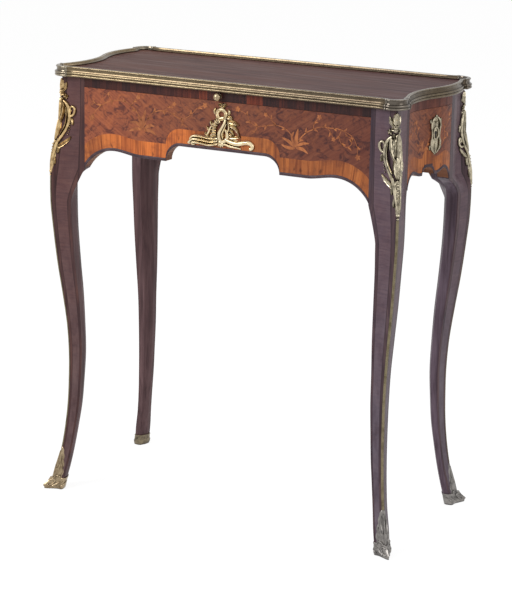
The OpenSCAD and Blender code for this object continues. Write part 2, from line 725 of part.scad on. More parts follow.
// Puts a piece worked out for one corner at the corner with these signs
module at_corner(x_sign, y_sign) {
    mirror([x_sign < 0 ? 1 : 0, 0, 0]) mirror([0, y_sign < 0 ? 1 : 0, 0]) children();
}
module leg(x_sign, y_sign) { color([0.35, 0.24, 0.24]) at_corner(x_sign, y_sign) leg_solid(y_sign); }
module leg_front_left() { leg(-1, -1); }
module leg_front_right() { leg(1, -1); }
module leg_back_left() { leg(-1, 1); }
module leg_back_right() { leg(1, 1); }

// A brass fillet lies on the flat of the outer edge of each leg
mount_top = rim_z - 3;
mount_z = mount_top - corner_mount_h;
function fillet_ring(z) =
    let (o = edge_point(z), o1 = o - [fillet_w, 0], o2 = o - [0, fillet_w])
    raise([o1 + fillet_t * diag, o1, o2, o2 + fillet_t * diag, o + 0.6 * fillet_t * diag], z);
fillet_levels = [for (z = leg_levels) if (z > sabot_leaf_h && z < mount_z) z];
module leg_fillets() {
    color("gold")
        for (x = [-1, 1], y = [-1, 1]) at_corner(x, y)
            loft([for (z = fillet_levels) fillet_ring(z)]);
}

// Castings are folded round the outer edge of a leg, a hair off the wood. A place on a leg is a distance from
// its outer flat, negative on the front or back face and positive on the end face, and a distance out of the
// surface.
bed_gap = 0.4;
rim_share = 0.6;
edge_share = 1.3;
function on_leg(ring, s, out) =
    let (first = norm(ring[8] - ring[9]), from = s < 0 ? 0 : s < first ? 9 : 8,
         to = s < 0 ? 1 : from - 1, way = unit(ring[to] - ring[from]))
    ring[from] + (from == 8 ? s - first : abs(s)) * way
    + out * (s < 0 ? [way[1], -way[0]] : [-way[1], way[0]]);
// Levels of a piece of a mount, which are those of the leg under it
function mount_levels(low, high) =
    [low, each [for (z = leg_levels) if (z > low + 1 && z < high - 1) z], high];
// Section of a piece folded round the edge, reaching a distance to both sides
fold_ends = zigzag(9, 1);
function fold_ring(z, w, side) =
    let (ring = leg_ring(z, side), rim_t = rim_share * casting_t)
    raise([on_leg(ring, -w, rim_t), on_leg(ring, -w, bed_gap), ring[0] + bed_gap * diag,
        ring[9] + bed_gap * diag, on_leg(ring, w, bed_gap), on_leg(ring, w, rim_t),
        on_leg(ring, 0.1 * w, casting_t), (ring[0] + ring[9]) / 2 + edge_share * casting_t * diag,
        on_leg(ring, -0.1 * w, casting_t)], z);

// Sabots: a cast shoe round the foot, with a pointed toe and a collar, and a leaf that runs up the outer edge
function swell_ring(ring, by) =
    let (mid = (ring[0] + ring[4]) / 2) [for (p = ring) p + by * unit(p - mid)];
// Reach of the toe at heights up to the collar
toe_line = [[0, toe_reach - 2], [6, toe_reach], [14, toe_reach - 11], [sabot_h, 9 + sabot_t]];
toe_half = 2;
function shoe_ring(z) =
    let (ring = swell_ring(leg_ring(max(z, leg_foot_z), 1), sabot_t),
         toe = corner + diag * lookup(z, toe_line))
    raise([toe + toe_half * across, for (j = [1 : 8]) ring[j], toe - toe_half * across], z);
// The socket follows the levels of the leg in it, and its floor lies just under the wood
socket_gap = 2 * fit_gap;
function socket_ring(z, at) = raise(swell_ring(leg_ring(z, 1), socket_gap), at);
// Width of the leaf to each side of the edge, at heights
sabot_leaf_w = [[sabot_h, 17], [sabot_h + 12, 14], [sabot_h + 25, 8], [sabot_leaf_h - 12, 5.5],
    [sabot_leaf_h, 1]];
module sabot_solid() {
    loft(concat([for (z = [0, 3, 6, 10, 14, sabot_h]) shoe_ring(z)],
        [for (z = [sabot_h, 10]) socket_ring(z, z)], [socket_ring(leg_foot_z, leg_foot_z - fit_gap)]),
        zigzag(10, 0));
    loft([for (z = mount_levels(sabot_h + rim_joint, sabot_leaf_h))
        fold_ring(z, lookup(z, sabot_leaf_w), 1)], fold_ends);
}
module sabot(x_sign, y_sign) { color("gold") at_corner(x_sign, y_sign) sabot_solid(); }
module sabot_front_left() { sabot(-1, -1); }
module sabot_front_right() { sabot(1, -1); }
module sabot_back_left() { sabot(-1, 1); }
module sabot_back_right() { sabot(1, 1); }

// Smooth run through a list of points
function curve(p, n) = concat(
    [for (i = [0 : len(p) - 2], k = [0 : n - 1])
        let (a = p[max(0, i - 1)], b = p[i], c = p[i + 1], d = p[min(len(p) - 1, i + 2)], t = k / n)
        b + 0.5 * ((c - a) * t + (2 * a - 5 * b + 4 * c - d) * pow(t, 2)
            + (3 * b - a - 3 * c + d) * pow(t, 3))],
    [p[len(p) - 1]]);
// Flat band along a run of points, with its widths at both ends
module ribbon(points, w_from, w_to) {
    run = curve(points, 4);
    last = len(run) - 1;
    way = [for (i = [0 : last]) let (d = unit(run[min(last, i + 1)] - run[max(0, i - 1)])) [-d[1], d[0]]];
    w = [for (i = [0 : last]) (w_from + (w_to - w_from) * i / last) / 2];
    polygon(concat([for (i = [0 : last]) run[i] - w[i] * way[i]],
        [for (i = [last : -1 : 0]) run[i] + w[i] * way[i]]));
}

// Corner mounts are pierced castings: a crown, two scrolled stems and a leaf.
// Section of a stem on one face, between a near and a far distance from the edge
function stem_ring(z, near, far, s, side) =
    let (ring = leg_ring(z, side), rim_t = rim_share * casting_t,
         points = [on_leg(ring, s * far, rim_t), on_leg(ring, s * far, bed_gap),
             on_leg(ring, s * near, bed_gap), on_leg(ring, s * near, rim_t),
             on_leg(ring, s * (near + far) / 2, casting_t)])
    raise(s < 0 ? points : [for (i = [4 : -1 : 0]) points[i]], z);
// Outlines of the pieces, as distances from the edge at distances below the top of a mount of this height
drawn_mount_h = 165;
mount_k = corner_mount_h / drawn_mount_h;
function drawn(table, drop) = mount_k * lookup(drop / mount_k, table);
crown_drop = 23;
fork_drop = 105;
crown_w = [[0, 3], [2, 6], [7, 9], [13, 10], [18, 9], [crown_drop, 7]];
stem_near = [[crown_drop, 2], [30, 5], [40, 8], [55, 9.5], [66, 9], [84, 6], [95, 3], [fork_drop, 0.5]];
stem_far = [[crown_drop, 9], [30, 16], [38, 18.5], [46, 17], [55, 15.5], [62, 16], [68, 22], [74, 24],
    [80, 20], [86, 12], [91, 15], [96, 19], [101, 13], [fork_drop, 7]];
leaf_w = [[fork_drop, 7], [112, 13], [118, 8], [130, 9.5], [145, 8], [155, 5], [160, 3],
    [drawn_mount_h, 0.8]];
module corner_mount_solid(side) {
    crown_foot = mount_top - mount_k * crown_drop;
    fork = mount_top - mount_k * fork_drop;
    loft([for (z = mount_levels(crown_foot + rim_joint, mount_top))
        fold_ring(z, drawn(crown_w, mount_top - z), side)], fold_ends);
    for (s = [-1, 1])
        loft([for (z = mount_levels(fork, crown_foot)) let (drop = mount_top - z)
            stem_ring(z, drawn(stem_near, drop), drawn(stem_far, drop), s, side)], zigzag(5, 1));
    loft([for (z = mount_levels(mount_z, fork - rim_joint))
        fold_ring(z, drawn(leaf_w, mount_top - z), side)], fold_ends);
}
module corner_mount(x_sign, y_sign) { color("gold") at_corner(x_sign, y_sign) corner_mount_solid(y_sign); }
module corner_mount_front_left() { corner_mount(-1, -1); }
module corner_mount_front_right() { corner_mount(1, -1); }
module corner_mount_back_left() { corner_mount(-1, 1); }
module corner_mount_back_right() { corner_mount(1, 1); }

// Front mount: pierced scrollwork round a ring. Its places are shares of the width and height of the mount,
// and the widths of its bands and the radii of its rings are shares of its width.
front_mount_x = -2.5;
front_mount_z = flat_z + edge_bead_h + fit_gap;
function placed(points) = [for (p = points) [front_mount_w * p[0], front_mount_h * p[1]]];
module ring(place, outer_share, inner_share) {
    translate(placed([place])[0]) difference() {
        circle(outer_share * front_mount_w, $fn = 48);
        circle(inner_share * front_mount_w, $fn = 48);
    }
}
// Bands of the mount: their run, and their width at both ends. Each ends in a bud.
front_bands = [
    [[[-0.02, 0.6], [-0.12, 0.5], [-0.11, 0.32], [0, 0.2], [0.13, 0.26], [0.16, 0.42], [0.12, 0.52]],
        0.077, 0.051],
    [[[0, 0.62], [0.03, 0.42], [0, 0.22]], 0.068, 0.068],
    [[[-0.1, 0.3], [-0.2, 0.2], [-0.34, 0.18], [-0.46, 0.1]], 0.094, 0.043],
    [[[-0.12, 0.4], [-0.22, 0.33], [-0.35, 0.33], [-0.44, 0.27]], 0.077, 0.034],
    [[[0.1, 0.28], [0.2, 0.24], [0.34, 0.2], [0.445, 0.12]], 0.094, 0.051],
    [[[0.16, 0.4], [0.24, 0.42], [0.36, 0.31]], 0.068, 0.034],
    [[[0.08, 0.68], [0.18, 0.68], [0.27, 0.54]], 0.068, 0.034],
    [[[-0.08, 0.68], [-0.17, 0.62], [-0.24, 0.48]], 0.068, 0.034],
    [[[0, 0.26], [0.01, 0.14], [0, 0.04]], 0.111, 0.034]];
bud_share = 1.35;
// Rings of the mount: their place, and their outer and inner radius
front_rings = [[[0.01, 0.74], 0.098, 0.047], [[0, 0.93], 0.043, 0.017]];
module front_mount_outline() {
    for (b = front_bands) {
        run = placed(b[0]);
        ribbon(run, b[1] * front_mount_w, b[2] * front_mount_w);
        translate(run[len(run) - 1]) circle(d = bud_share * b[2] * front_mount_w, $fn = 32);
    }
    for (r = front_rings) ring(r[0], r[1], r[2]);
}
module front_mount() {
    color("gold")
        translate([front_mount_x, -wall_y, front_mount_z]) rotate([90, 0, 0])
            linear_extrude(casting_t) front_mount_outline();
}

// Escutcheon: a pierced cartouche that follows the curve of the drawer front, with the keyhole in it. Its
// rounds are given by their place and by their diameter, as shares of its height, and those beside the middle
// come in pairs.
middle_rounds = [[[0, 0], 0.3], [[0, 0.227], 0.242], [[0, -0.227], 0.242], [[0, 0.409], 0.182],
    [[0, -0.394], 0.212]];
side_rounds = [[[0.09, 0.12], 0.182], [[0.1, -0.12], 0.197], [[0.053, 0.288], 0.152],
    [[0.053, -0.288], 0.152]];
side_holes = [[[0.136, 0.212], 0.06], [[0.144, -0.212], 0.06]];
module rounds(list) {
    for (r = list) translate(escutcheon_h * r[0]) circle(d = escutcheon_h * r[1], $fn = 48);
}
module escutcheon_outline() {
    difference() {
        union() {
            rounds(middle_rounds);
            for (m = [0, 1]) mirror([m, 0]) rounds(side_rounds);
        }
        for (m = [0, 1]) mirror([m, 0]) rounds(side_holes);
        translate([0, keyhole_rise]) circle(d = key_d, $fn = 32);
        translate([-key_d / 4, keyhole_rise - key_slot]) square([key_d / 2, key_slot]);
    }
}
module escutcheon() {
    color("gold")
        intersection() {
            linear_extrude(table_h) polygon(end_strip(wall_inset - casting_t, casting_t - fit_gap, end_half));
            translate([0, lock_y, escutcheon_z]) rotate([90, 0, 90]) linear_extrude(ear_reach_x)
                escutcheon_outline();
        }
}

// Small pins hold the mounts to the wood
pin_d = 2;
pin_bite = 9;
leaf_pin_up = 35;
crown_pin_down = 12;
module pin(depth) { cylinder(d = pin_d, h = depth, $fn = 24); }
module mount_pins() {
    color("gold") {
        for (x = [-1, 1], y = [-1, 1]) at_corner(x, y)
            for (z = [mount_z + leaf_pin_up, mount_top - crown_pin_down])
                translate([each edge_point(z) - pin_bite * diag, z]) rotate([0, 90, 45]) pin(pin_bite + 1);
        for (p = [[-0.2, 0.2], [0.2, 0.26], [0, 0.2]])
            translate([front_mount_x, pin_bite - wall_y, front_mount_z])
                translate([p[0] * front_mount_w, 0, p[1] * front_mount_h])
                    rotate([90, 0, 0]) pin(pin_bite + 1);
    }
}
module drawer_pins() {
    color("gold")
        for (z = [-1, 1]) let (up = 0.39 * escutcheon_h)
            translate([end_x(lock_y, wall_inset) - pin_bite, lock_y, escutcheon_z + z * up])
                rotate([0, 90, 0]) pin(pin_bite + 1);
}

top_board();
top_veneer();
rim_front();
rim_back();
rim_left();
rim_right();
rim_ears();
rim_clasps();
leg_front_left();
leg_front_right();
leg_back_left();
leg_back_right();
leg_fillets();
corner_mount_front_left();
corner_mount_front_right();
corner_mount_back_left();
corner_mount_back_right();
sabot_front_left();
sabot_front_right();
sabot_back_left();
sabot_back_right();
front_apron();
front_marquetry();
front_banding();
front_edge_bead();
back_apron();
back_marquetry();
back_banding();
back_edge_bead();
left_apron();
left_marquetry();
left_banding();
left_edge_bead();
right_top_rail();
dust_panel();
slide_stops();
drawer_guides();
drawer_runners();
drawer_bearer();
drawer_stop();
glue_blocks();
top_screws();
front_mount();
mount_pins();
slide_board();
slide_front();
slide_leather();
slide_knob();
drawer_front();
drawer_marquetry();
drawer_banding();
drawer_edge_bead();
drawer_sides();
drawer_back();
drawer_bottom();
escutcheon();
drawer_pins();
lock_case();
lock_bolt();
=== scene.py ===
"""Looks of an occasional table with a writing slide and an end drawer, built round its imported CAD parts.

Everything is in metres in the CAD's own frame, with +Z up and the front facing -Y. Shapes are worked out in
millimetres and turned into metres when a mesh is made.
"""
import math
import random
from functools import cache

import bmesh
import bpy
from bpy.props import FloatProperty, FloatVectorProperty, PointerProperty
from mathutils import Matrix, Vector


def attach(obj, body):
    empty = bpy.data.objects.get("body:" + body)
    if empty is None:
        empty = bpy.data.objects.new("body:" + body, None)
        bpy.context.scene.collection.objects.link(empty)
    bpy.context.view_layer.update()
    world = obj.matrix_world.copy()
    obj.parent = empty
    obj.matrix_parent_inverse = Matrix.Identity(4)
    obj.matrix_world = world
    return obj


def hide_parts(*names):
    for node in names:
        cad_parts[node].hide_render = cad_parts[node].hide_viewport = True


bl_info = {
    "name": "Occasional Table Looks",
    "version": (1, 0, 0),
    "blender": (4, 5, 0),
    "location": "3D View > Sidebar > Table",
    "description": "Builds the veneers, marquetry and gilt mounts of an occasional table on its CAD frame",
    "category": "Object",
}

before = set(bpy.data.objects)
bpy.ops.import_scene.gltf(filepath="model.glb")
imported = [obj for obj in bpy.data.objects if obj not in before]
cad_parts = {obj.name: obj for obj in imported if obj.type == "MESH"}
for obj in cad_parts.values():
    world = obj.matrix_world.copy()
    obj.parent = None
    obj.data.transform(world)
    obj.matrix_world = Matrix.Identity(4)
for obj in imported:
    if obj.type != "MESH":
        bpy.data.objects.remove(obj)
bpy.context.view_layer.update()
MM = 0.001
# The CAD parts bring materials of their own, so the names of the finishes start with this
LOOK = "look_"

# Sizes of the construction that the pieces here are fitted to, in millimetres
TABLE_H = 730
RIM_H = 17
RIM_Z = TABLE_H - RIM_H
RIM_DEPTH = 7
LIP_W = 5
BEAD_R = 2.1
TOP_BEAD_R = 1.2
EAR_R = 24
EAR = (292, 122)
FRONT_Y = 141
SWEEP_R = 40
END_R = 150
HOLLOW_Y = -50
SWELL_Y = 56
NICK_R = 10
WALL_INSET = 10
WALL_Y = FRONT_Y - WALL_INSET
INNER_Y = WALL_Y - 20
PANEL_X = 257
END_HALF = 62
DRAWER_HALF = 61.4
BAND_Z = 697
DRAWER_TOP = 696.5
APRON_T = 20
VENEER_T = 1
CORNER = Vector((308, 140))
FILLET_W = 3.5
MOUNT_TOP = 710
MOUNT_H = 165
SABOT_T = 2.2
COLLAR_Z = 20
LEAF_TOP = 73
# How far raised work and inlaid strips reach under the surface that carries them
SINK = 0.4
LET_IN = 0.1
# Petals of each flower, cast or inlaid
PETALS = 5
DIAG = Vector((1, 1)).normalized()
ACROSS = Vector((-1, 1)).normalized()


# Plan of the table ----------------------------------------------------

def circles_touch(a, ra, b, rb):
    """Right-hand meeting point of two circles."""
    d = (b - a).length
    along = (ra * ra - rb * rb + d * d) / (2 * d)
    off = math.sqrt(ra * ra - along * along)
    u = (b - a) / d
    return a + along * u + off * Vector((u.y, -u.x))


def aim(a, b):
    """Direction from one point to another, in degrees."""
    return math.degrees(math.atan2(b.y - a.y, b.x - a.x))


FRONT_EAR = Vector((EAR[0], -EAR[1]))
BACK_EAR = Vector(EAR)
SWEEP_X = EAR[0] - math.sqrt((EAR_R + SWEEP_R) ** 2 - (FRONT_Y + SWEEP_R - EAR[1]) ** 2)
FRONT_SWEEP = Vector((SWEEP_X, -FRONT_Y - SWEEP_R))
BACK_SWEEP = Vector((SWEEP_X, FRONT_Y + SWEEP_R))
HOLLOW = Vector((EAR[0] + math.sqrt((EAR_R + END_R) ** 2 - (EAR[1] + HOLLOW_Y) ** 2), HOLLOW_Y))
SWELL = Vector((HOLLOW.x - math.sqrt((2 * END_R) ** 2 - (SWELL_Y - HOLLOW_Y) ** 2), SWELL_Y))
NICK = circles_touch(SWELL, END_R + NICK_R, BACK_EAR, EAR_R + NICK_R)
A_SWEEP = aim(FRONT_SWEEP, FRONT_EAR)
A_EAR = (A_SWEEP - 180, aim(FRONT_EAR, HOLLOW))
A_HOLLOW = (A_EAR[1] + 180, aim(HOLLOW, SWELL))
A_SWELL = (A_HOLLOW[1] - 180, aim(SWELL, NICK))
A_NICK = (A_SWELL[1] + 180, aim(NICK, BACK_EAR))
A_BACK = (A_NICK[1] - 180, aim(BACK_EAR, BACK_SWEEP))
TURN_Y = HOLLOW.y + END_R * math.sin(math.radians(A_HOLLOW[1]))


def arc(c, r, a, b, side, step=2.0):
    """Points and inward normals along an arc of the outline; side is 1 outwards and -1 inwards."""
    n = max(3, math.ceil(abs(b - a) * math.pi / 180 * r / step))
    out = []
    for i in range(n + 1):
        t = math.radians(a + (b - a) * i / n)
        u = Vector((math.cos(t), math.sin(t)))
        out.append((c + r * u, -side * u))
    return out


def end_x(y):
    """Where the wall of an end stands at a place along it, right-hand side."""
    if y < TURN_Y:
        return HOLLOW.x - math.sqrt((END_R + WALL_INSET) ** 2 - (y - HOLLOW.y) ** 2)
    return SWELL.x + math.sqrt((END_R - WALL_INSET) ** 2 - (y - SWELL.y) ** 2)


# Mesh helpers ---------------------------------------------------------

def make_piece(name, verts, faces, body, finish, replaces=(), sharp=35.0, values=None):
    """Makes a mesh from places in millimetres, shades it, gives it its finish and puts it on a body."""
    mesh = bpy.data.meshes.new(name)
    mesh.from_pydata([Vector(v) * MM for v in verts], [], faces)
    for key, row in (values or {}).items():
        data = mesh.attributes.new(key, "FLOAT", "POINT").data
        for i, value in enumerate(row):
            data[i].value = value
    bm = bmesh.new()
    bm.from_mesh(mesh)
    bmesh.ops.recalc_face_normals(bm, faces=bm.faces)
    for edge in bm.edges:
        edge.smooth = len(edge.link_faces) == 2 and edge.calc_face_angle(0.0) < math.radians(sharp)
    for face in bm.faces:
        face.smooth = True
    bm.to_mesh(mesh)
    bm.free()
    piece = bpy.data.objects.new(name, mesh)
    bpy.context.scene.collection.objects.link(piece)
    mesh.materials.append(bpy.data.materials[LOOK + finish])
    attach(piece, body)
    if replaces:
        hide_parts(*replaces)


def loft_faces(rings, count, start=0, closed=False):
    """Faces between rings of points, with a cap at both ends unless the rings close on themselves."""
    faces = []
    for i in range(rings if closed else rings - 1):
        a, b = start + i * count, start + (i + 1) % rings * count
        for j in range(count):
            k = (j + 1) % count
            faces.append((a + j, a + k, b + k, b + j))
    if not closed:
        faces.append(tuple(start + j for j in range(count)))
        faces.append(tuple(start + (rings - 1) * count + count - 1 - j for j in range(count)))
    return faces


def spline(a, b, c, d, t):
    """Place at a share of the way from b to c on a smooth curve through four points."""
    return 0.5 * (2 * b + (c - a) * t + (2 * a - 5 * b + 4 * c - d) * t * t
                  + (3 * b - a - 3 * c + d) * t ** 3)


def round_points(x, y, r, angles, height=None):
    """Points at some angles, in degrees, on a circle or on an ellipse."""
    return [(x + r * math.cos(math.radians(a)), y + (height or r) * math.sin(math.radians(a)))
            for a in angles]


def smooth_run(points, steps):
    """Smooth run through a list of points, with its tangents."""
    pts = [Vector(p) for p in points]
    last = len(pts) - 1
    out = [spline(pts[max(0, i - 1)], pts[i], pts[i + 1], pts[min(last, i + 2)], k / steps)
           for i in range(last) for k in range(steps)] + [pts[-1]]
    ways = [(out[min(len(out) - 1, i + 1)] - out[max(0, i - 1)]).normalized() for i in range(len(out))]
    return out, ways


def at(table, t):
    """Value of a number, a pair of ends, a list of stops or a function at a share along a run."""
    if callable(table):
        return table(t)
    if isinstance(table, (int, float)):
        return table
    k = t * (len(table) - 1)
    i = min(int(k), len(table) - 2)
    return table[i] + (table[i + 1] - table[i]) * (k - i)


class Relief:
    """Raised work on a surface. place(u, v, out) gives the point at a place on it and a height above it."""

    def __init__(self, place):
        self.place = place
        self.verts = []
        self.faces = []

    def rings(self, rows, closed=False):
        """Adds a solid between rows of places."""
        start = len(self.verts)
        for row in rows:
            self.verts.extend(self.place(*p) for p in row)
        self.faces.extend(loft_faces(len(rows), len(rows[0]), start, closed))

    def take(self, other):
        """Adds the solids of another relief."""
        start = len(self.verts)
        self.faces += [tuple(i + start for i in face) for face in other.faces]
        self.verts += other.verts

    def runs(self, points, steps, half, rise, sink):
        """Adds a solid along a run; rise(t) gives (share of half the width, height) of each point."""
        run, ways = smooth_run(points, steps)
        rows = []
        for i, (p, d) in enumerate(zip(run, ways)):
            t = i / (len(run) - 1)
            w = half(t)
            across = [(w * share, h) for share, h in rise(t)]
            across += [(-w * 0.9, -sink), (w * 0.9, -sink)]
            rows.append([(p.x - d.y * k, p.y + d.x * k, h) for k, h in across])
        self.rings(rows)

    def roll(self, points, width, height, steps=5, sides=9):
        """Half-round band along a run of points."""
        turns = [math.pi * j / (sides - 1) for j in range(sides)]
        self.runs(points, steps, lambda t: at(width, t) / 2,
                  lambda t: [(math.cos(a), at(height, t) * math.sin(a)) for a in turns], SINK)

    def leaf(self, points, width, height, lobes=3, ribs=1, steps=6, sink=SINK, outline=None):
        """Carved leaf along a run of points, with a lobed edge, a raised midrib and flutes."""
        columns = 12

        def fullness(t):
            if outline:
                return at(outline, t)
            return math.sin(math.pi * min(0.985, 0.06 + 0.92 * t) ** 0.75) ** 0.7

        def half(t):
            tooth = 0.82 + 0.18 * abs(math.sin(math.pi * lobes * t))
            return max(0.15, width / 2 * fullness(t) * tooth)

        def rise(t):
            row = []
            for j in range(columns + 1):
                s = 1 - 2 * j / columns
                flute = 0.72 + 0.28 * math.cos(2 * math.pi * ribs * s)
                arch = (1 - abs(s) ** 2.2) ** 0.5
                row.append((s, max(0.0, height * (0.45 + 0.55 * fullness(t)) * arch * flute)))
            return row

        self.runs(points, steps, half, rise, sink)

    def strip(self, points, width, high, steps=4):
        """Flat band along a run of points, let into the surface."""
        run, ways = smooth_run(points, steps)
        rows = []
        for i, (p, d) in enumerate(zip(run, ways)):
            w = max(0.05, at(width, i / (len(run) - 1)) / 2)
            rows.append([(p.x - k * d.y * w, p.y + k * d.x * w, h)
                         for k, h in ((1, high), (-1, high), (-1, -LET_IN), (1, -LET_IN))])
        self.rings(rows)

    def flower(self, u, v, size, height, turn=90):
        """Open flower with a raised eye."""
        for k in range(PETALS):
            a = math.radians(turn + 360 * k / PETALS)
            c, n = math.cos(a), math.sin(a)
            self.leaf([(u + share * size * c, v + share * size * n) for share in (0.1, 0.5, 1)],
                      0.85 * size, 0.75 * height, lobes=1, steps=4)
        self.dome(u, v, 0.32 * size, height, sides=10)

    def dome(self, u, v, r, h, sides=12, levels=5):
        """Round boss."""
        turns = [2 * math.pi * j / sides for j in range(sides)]
        rows = [[(u + r * 0.9 * math.cos(t), v + r * 0.9 * math.sin(t), -SINK) for t in turns]]
        for i in range(levels):
            a = math.pi / 2 * i / levels
            rows.append([(u + r * math.cos(a) * math.cos(t), v + r * math.cos(a) * math.sin(t),
                          h * math.sin(a)) for t in turns])
        self.rings(rows)

    def hoop(self, u, v, r, width, height, stretch=1.0):
        """Half-round ring."""
        sides, around = 9, 28
        turns = [math.pi * j / (sides - 1) for j in range(sides)]
        across = [(r - width / 2 * math.cos(a), height * math.sin(a)) for a in turns]
        across += [(r + width * 0.42, -SINK), (r - width * 0.42, -SINK)]
        self.rings([[(u + k * math.cos(b), v + stretch * k * math.sin(b), h) for k, h in across]
                    for b in (2 * math.pi * i / around for i in range(around))], closed=True)

    def piece(self, name, body, finish, replaces=(), slot=None, sharp=50.0):
        """Makes the piece from all that was added."""
        make_piece(name, self.verts, self.faces, body, finish, replaces, sharp)


# Finishes -------------------------------------------------------------

def tone(r, g, b):
    """Linear colour of a display colour given in steps of 0 to 255."""
    return tuple((c / 255 / 12.92 if c <= 10 else ((c / 255 + 0.055) / 1.055) ** 2.4)
                 for c in (r, g, b)) + (1.0,)


def chosen(name):
    """Colour that is set in the panel, as a tone."""
    return (*getattr(bpy.context.scene.table_colours, name), 1.0)


WHITE = (1.0, 1.0, 1.0, 1.0)


class Nodes:
    """Small helper that fills a tree of shader nodes."""

    def __init__(self, tree):
        self.tree = tree
        tree.nodes.clear()

    def add(self, kind, sockets=None, **props):
        """Adds a node, with a value or a link for each socket that is named."""
        node = self.tree.nodes.new("ShaderNode" + kind)
        for key, value in props.items():
            setattr(node, key, value)
        self.fill(node, sockets or {})
        return node

    def fill(self, node, sockets):
        """Sets each named socket of a node, or links it."""
        for key, value in sockets.items():
            if isinstance(value, bpy.types.NodeSocket):
                self.tree.links.new(value, node.inputs[key])
            else:
                node.inputs[key].default_value = value

    def sums(self, kind, a, b=0.0, c=0.0):
        """Result of one operation on up to three values."""
        return self.add("Math", {0: a, 1: b, 2: c}, operation=kind).outputs[0]

    def times(self, a, b):
        """Product of two values."""
        return self.sums("MULTIPLY", a, b)

    def less(self, a):
        """What is left of 1."""
        return self.sums("SUBTRACT", 1.0, a)

    def seen(self):
        """1 for what the camera sees, straight or in metal and glass, and 0 for the light on the object."""
        rays = self.add("LightPath").outputs
        return self.sums("MAXIMUM", rays["Is Camera Ray"],
                         self.sums("MAXIMUM", rays["Is Glossy Ray"], rays["Is Transmission Ray"]))


class Finish(Nodes):
    """Nodes of one material."""

    def __init__(self, name):
        self.material = bpy.data.materials.new(LOOK + name)
        self.material.use_nodes = True
        super().__init__(self.material.node_tree)
        self.shader = self.add("BsdfPrincipled")
        self.output = self.add("OutputMaterial", {"Surface": self.shader.outputs[0]})

    def place(self, scale=(1, 1, 1), turn=(0, 0, 0)):
        """Object coordinates, in metres, turned and then scaled."""
        coord = self.add("TexCoord").outputs["Object"]
        lying = self.add("Mapping", {"Vector": coord, "Rotation": tuple(math.radians(a) for a in turn)})
        return self.add("Mapping", {"Vector": lying.outputs[0], "Scale": scale}).outputs[0]

    def axis(self, name):
        """One object coordinate, in metres."""
        return self.add("SeparateXYZ", {0: self.add("TexCoord").outputs["Object"]}).outputs[name]

    def vector(self, x, y, z=0.0):
        """Coordinates put together from single values."""
        return self.add("CombineXYZ", {0: x, 1: y, 2: z}).outputs[0]

    def value(self, name):
        """Value that the mesh carries."""
        return self.add("Attribute", attribute_name=name).outputs["Fac"]

    def noise(self, vector, scale=1.0, detail=6.0, rough=0.55, twist=0.0):
        """Cloudy pattern from 0 to 1."""
        return self.add("TexNoise", {"Vector": vector, "Scale": scale, "Detail": detail, "Roughness": rough,
                                     "Distortion": twist}).outputs["Fac"]

    def cloud(self, scale, detail, rough, twist=0.0, turn=(0, 0, 0)):
        """Cloudy pattern in object coordinates, finer for a larger scale."""
        return self.noise(self.place(scale, turn), 1.0, detail, rough, twist)

    def ramp(self, fac, stops):
        """Colours between stops; a stop can also be a grey given as one number."""
        node = self.add("ValToRGB", {"Fac": fac})
        marks = node.color_ramp.elements
        while len(marks) < len(stops):
            marks.new(0.5)
        for mark, (where, colour) in zip(marks, stops):
            mark.position = where
            mark.color = colour if isinstance(colour, tuple) else (colour, colour, colour, 1.0)
        return node.outputs["Color"]

    def mix(self, fac, a, b, kind="MIX"):
        """Colour between two others."""
        return self.add("Mix", {0: fac, 6: a, 7: b}, data_type="RGBA", blend_type=kind).outputs[2]

    def tint(self, mask, colour, share, other):
        """Takes a share of another colour where the mask is 1."""
        return self.mix(mask, colour, self.mix(share, colour, other))

    def patches(self, colour, cloud, low, high, share, other):
        """Takes a share of another colour in the patches where a cloudy pattern is high."""
        return self.tint(self.step(cloud, low, high), colour, share, other)

    def shade(self, colour, by):
        """Multiplies a colour by three factors."""
        return self.mix(1.0, colour, (*by, 1), "MULTIPLY")

    def step(self, x, low, high):
        """Rises from 0 to 1 as x goes from low to high."""
        return self.add("MapRange", {"Value": x, "From Min": low, "From Max": high}, clamp=True).outputs[0]

    def clamp(self, x):
        """Keeps a value between 0 and 1."""
        return self.add("Clamp", {"Value": x}).outputs[0]

    def bump(self, height, distance, strength):
        """Gives the surface relief from a pattern."""
        node = self.add("Bump", {"Height": height, "Distance": distance, "Strength": strength})
        self.tree.links.new(node.outputs[0], self.shader.inputs["Normal"])

    def set(self, **sockets):
        """Sets sockets of the shader, named with _ for each space."""
        self.fill(self.shader, {key.replace("_", " "): value for key, value in sockets.items()})


def grain(f, coord, dark, mid, light, blotch=None):
    """Veneer colour from streaks that run where the coordinates are least stretched."""
    streak = f.noise(coord, 1.0, 9.0, 0.62, 0.4)
    colour = f.ramp(streak, [(0.3, dark), (0.48, mid), (0.72, light)])
    pores = f.noise(f.add("Mapping", {"Vector": coord, "Scale": (3.1, 3.1, 3.1)}).outputs[0], 1.6, 4.0, 0.7)
    colour = f.tint(f.step(pores, 0.6, 0.72), colour, 0.55, dark)
    if blotch is not None:
        colour = f.patches(colour, f.cloud((14, 14, 14), 3.0, 0.5, 0.6), 0.45, 0.75, 0.5, blotch)
    return colour, streak, pores


def polish(f, colour, streak, pores, rough=(0.4, 0.55), coat=0.06, bump=0.35, shine=0.16):
    """Waxed surface of a veneer: its colour, gloss and the relief of its grain."""
    f.set(Base_Color=colour, Roughness=f.ramp(streak, [(0.2, rough[1]), (0.8, rough[0])]), Coat_Weight=coat,
          Coat_Roughness=0.2, Specular_IOR_Level=shine)
    f.bump(f.sums("ADD", streak, f.times(pores, 0.6)), 0.00015, bump)


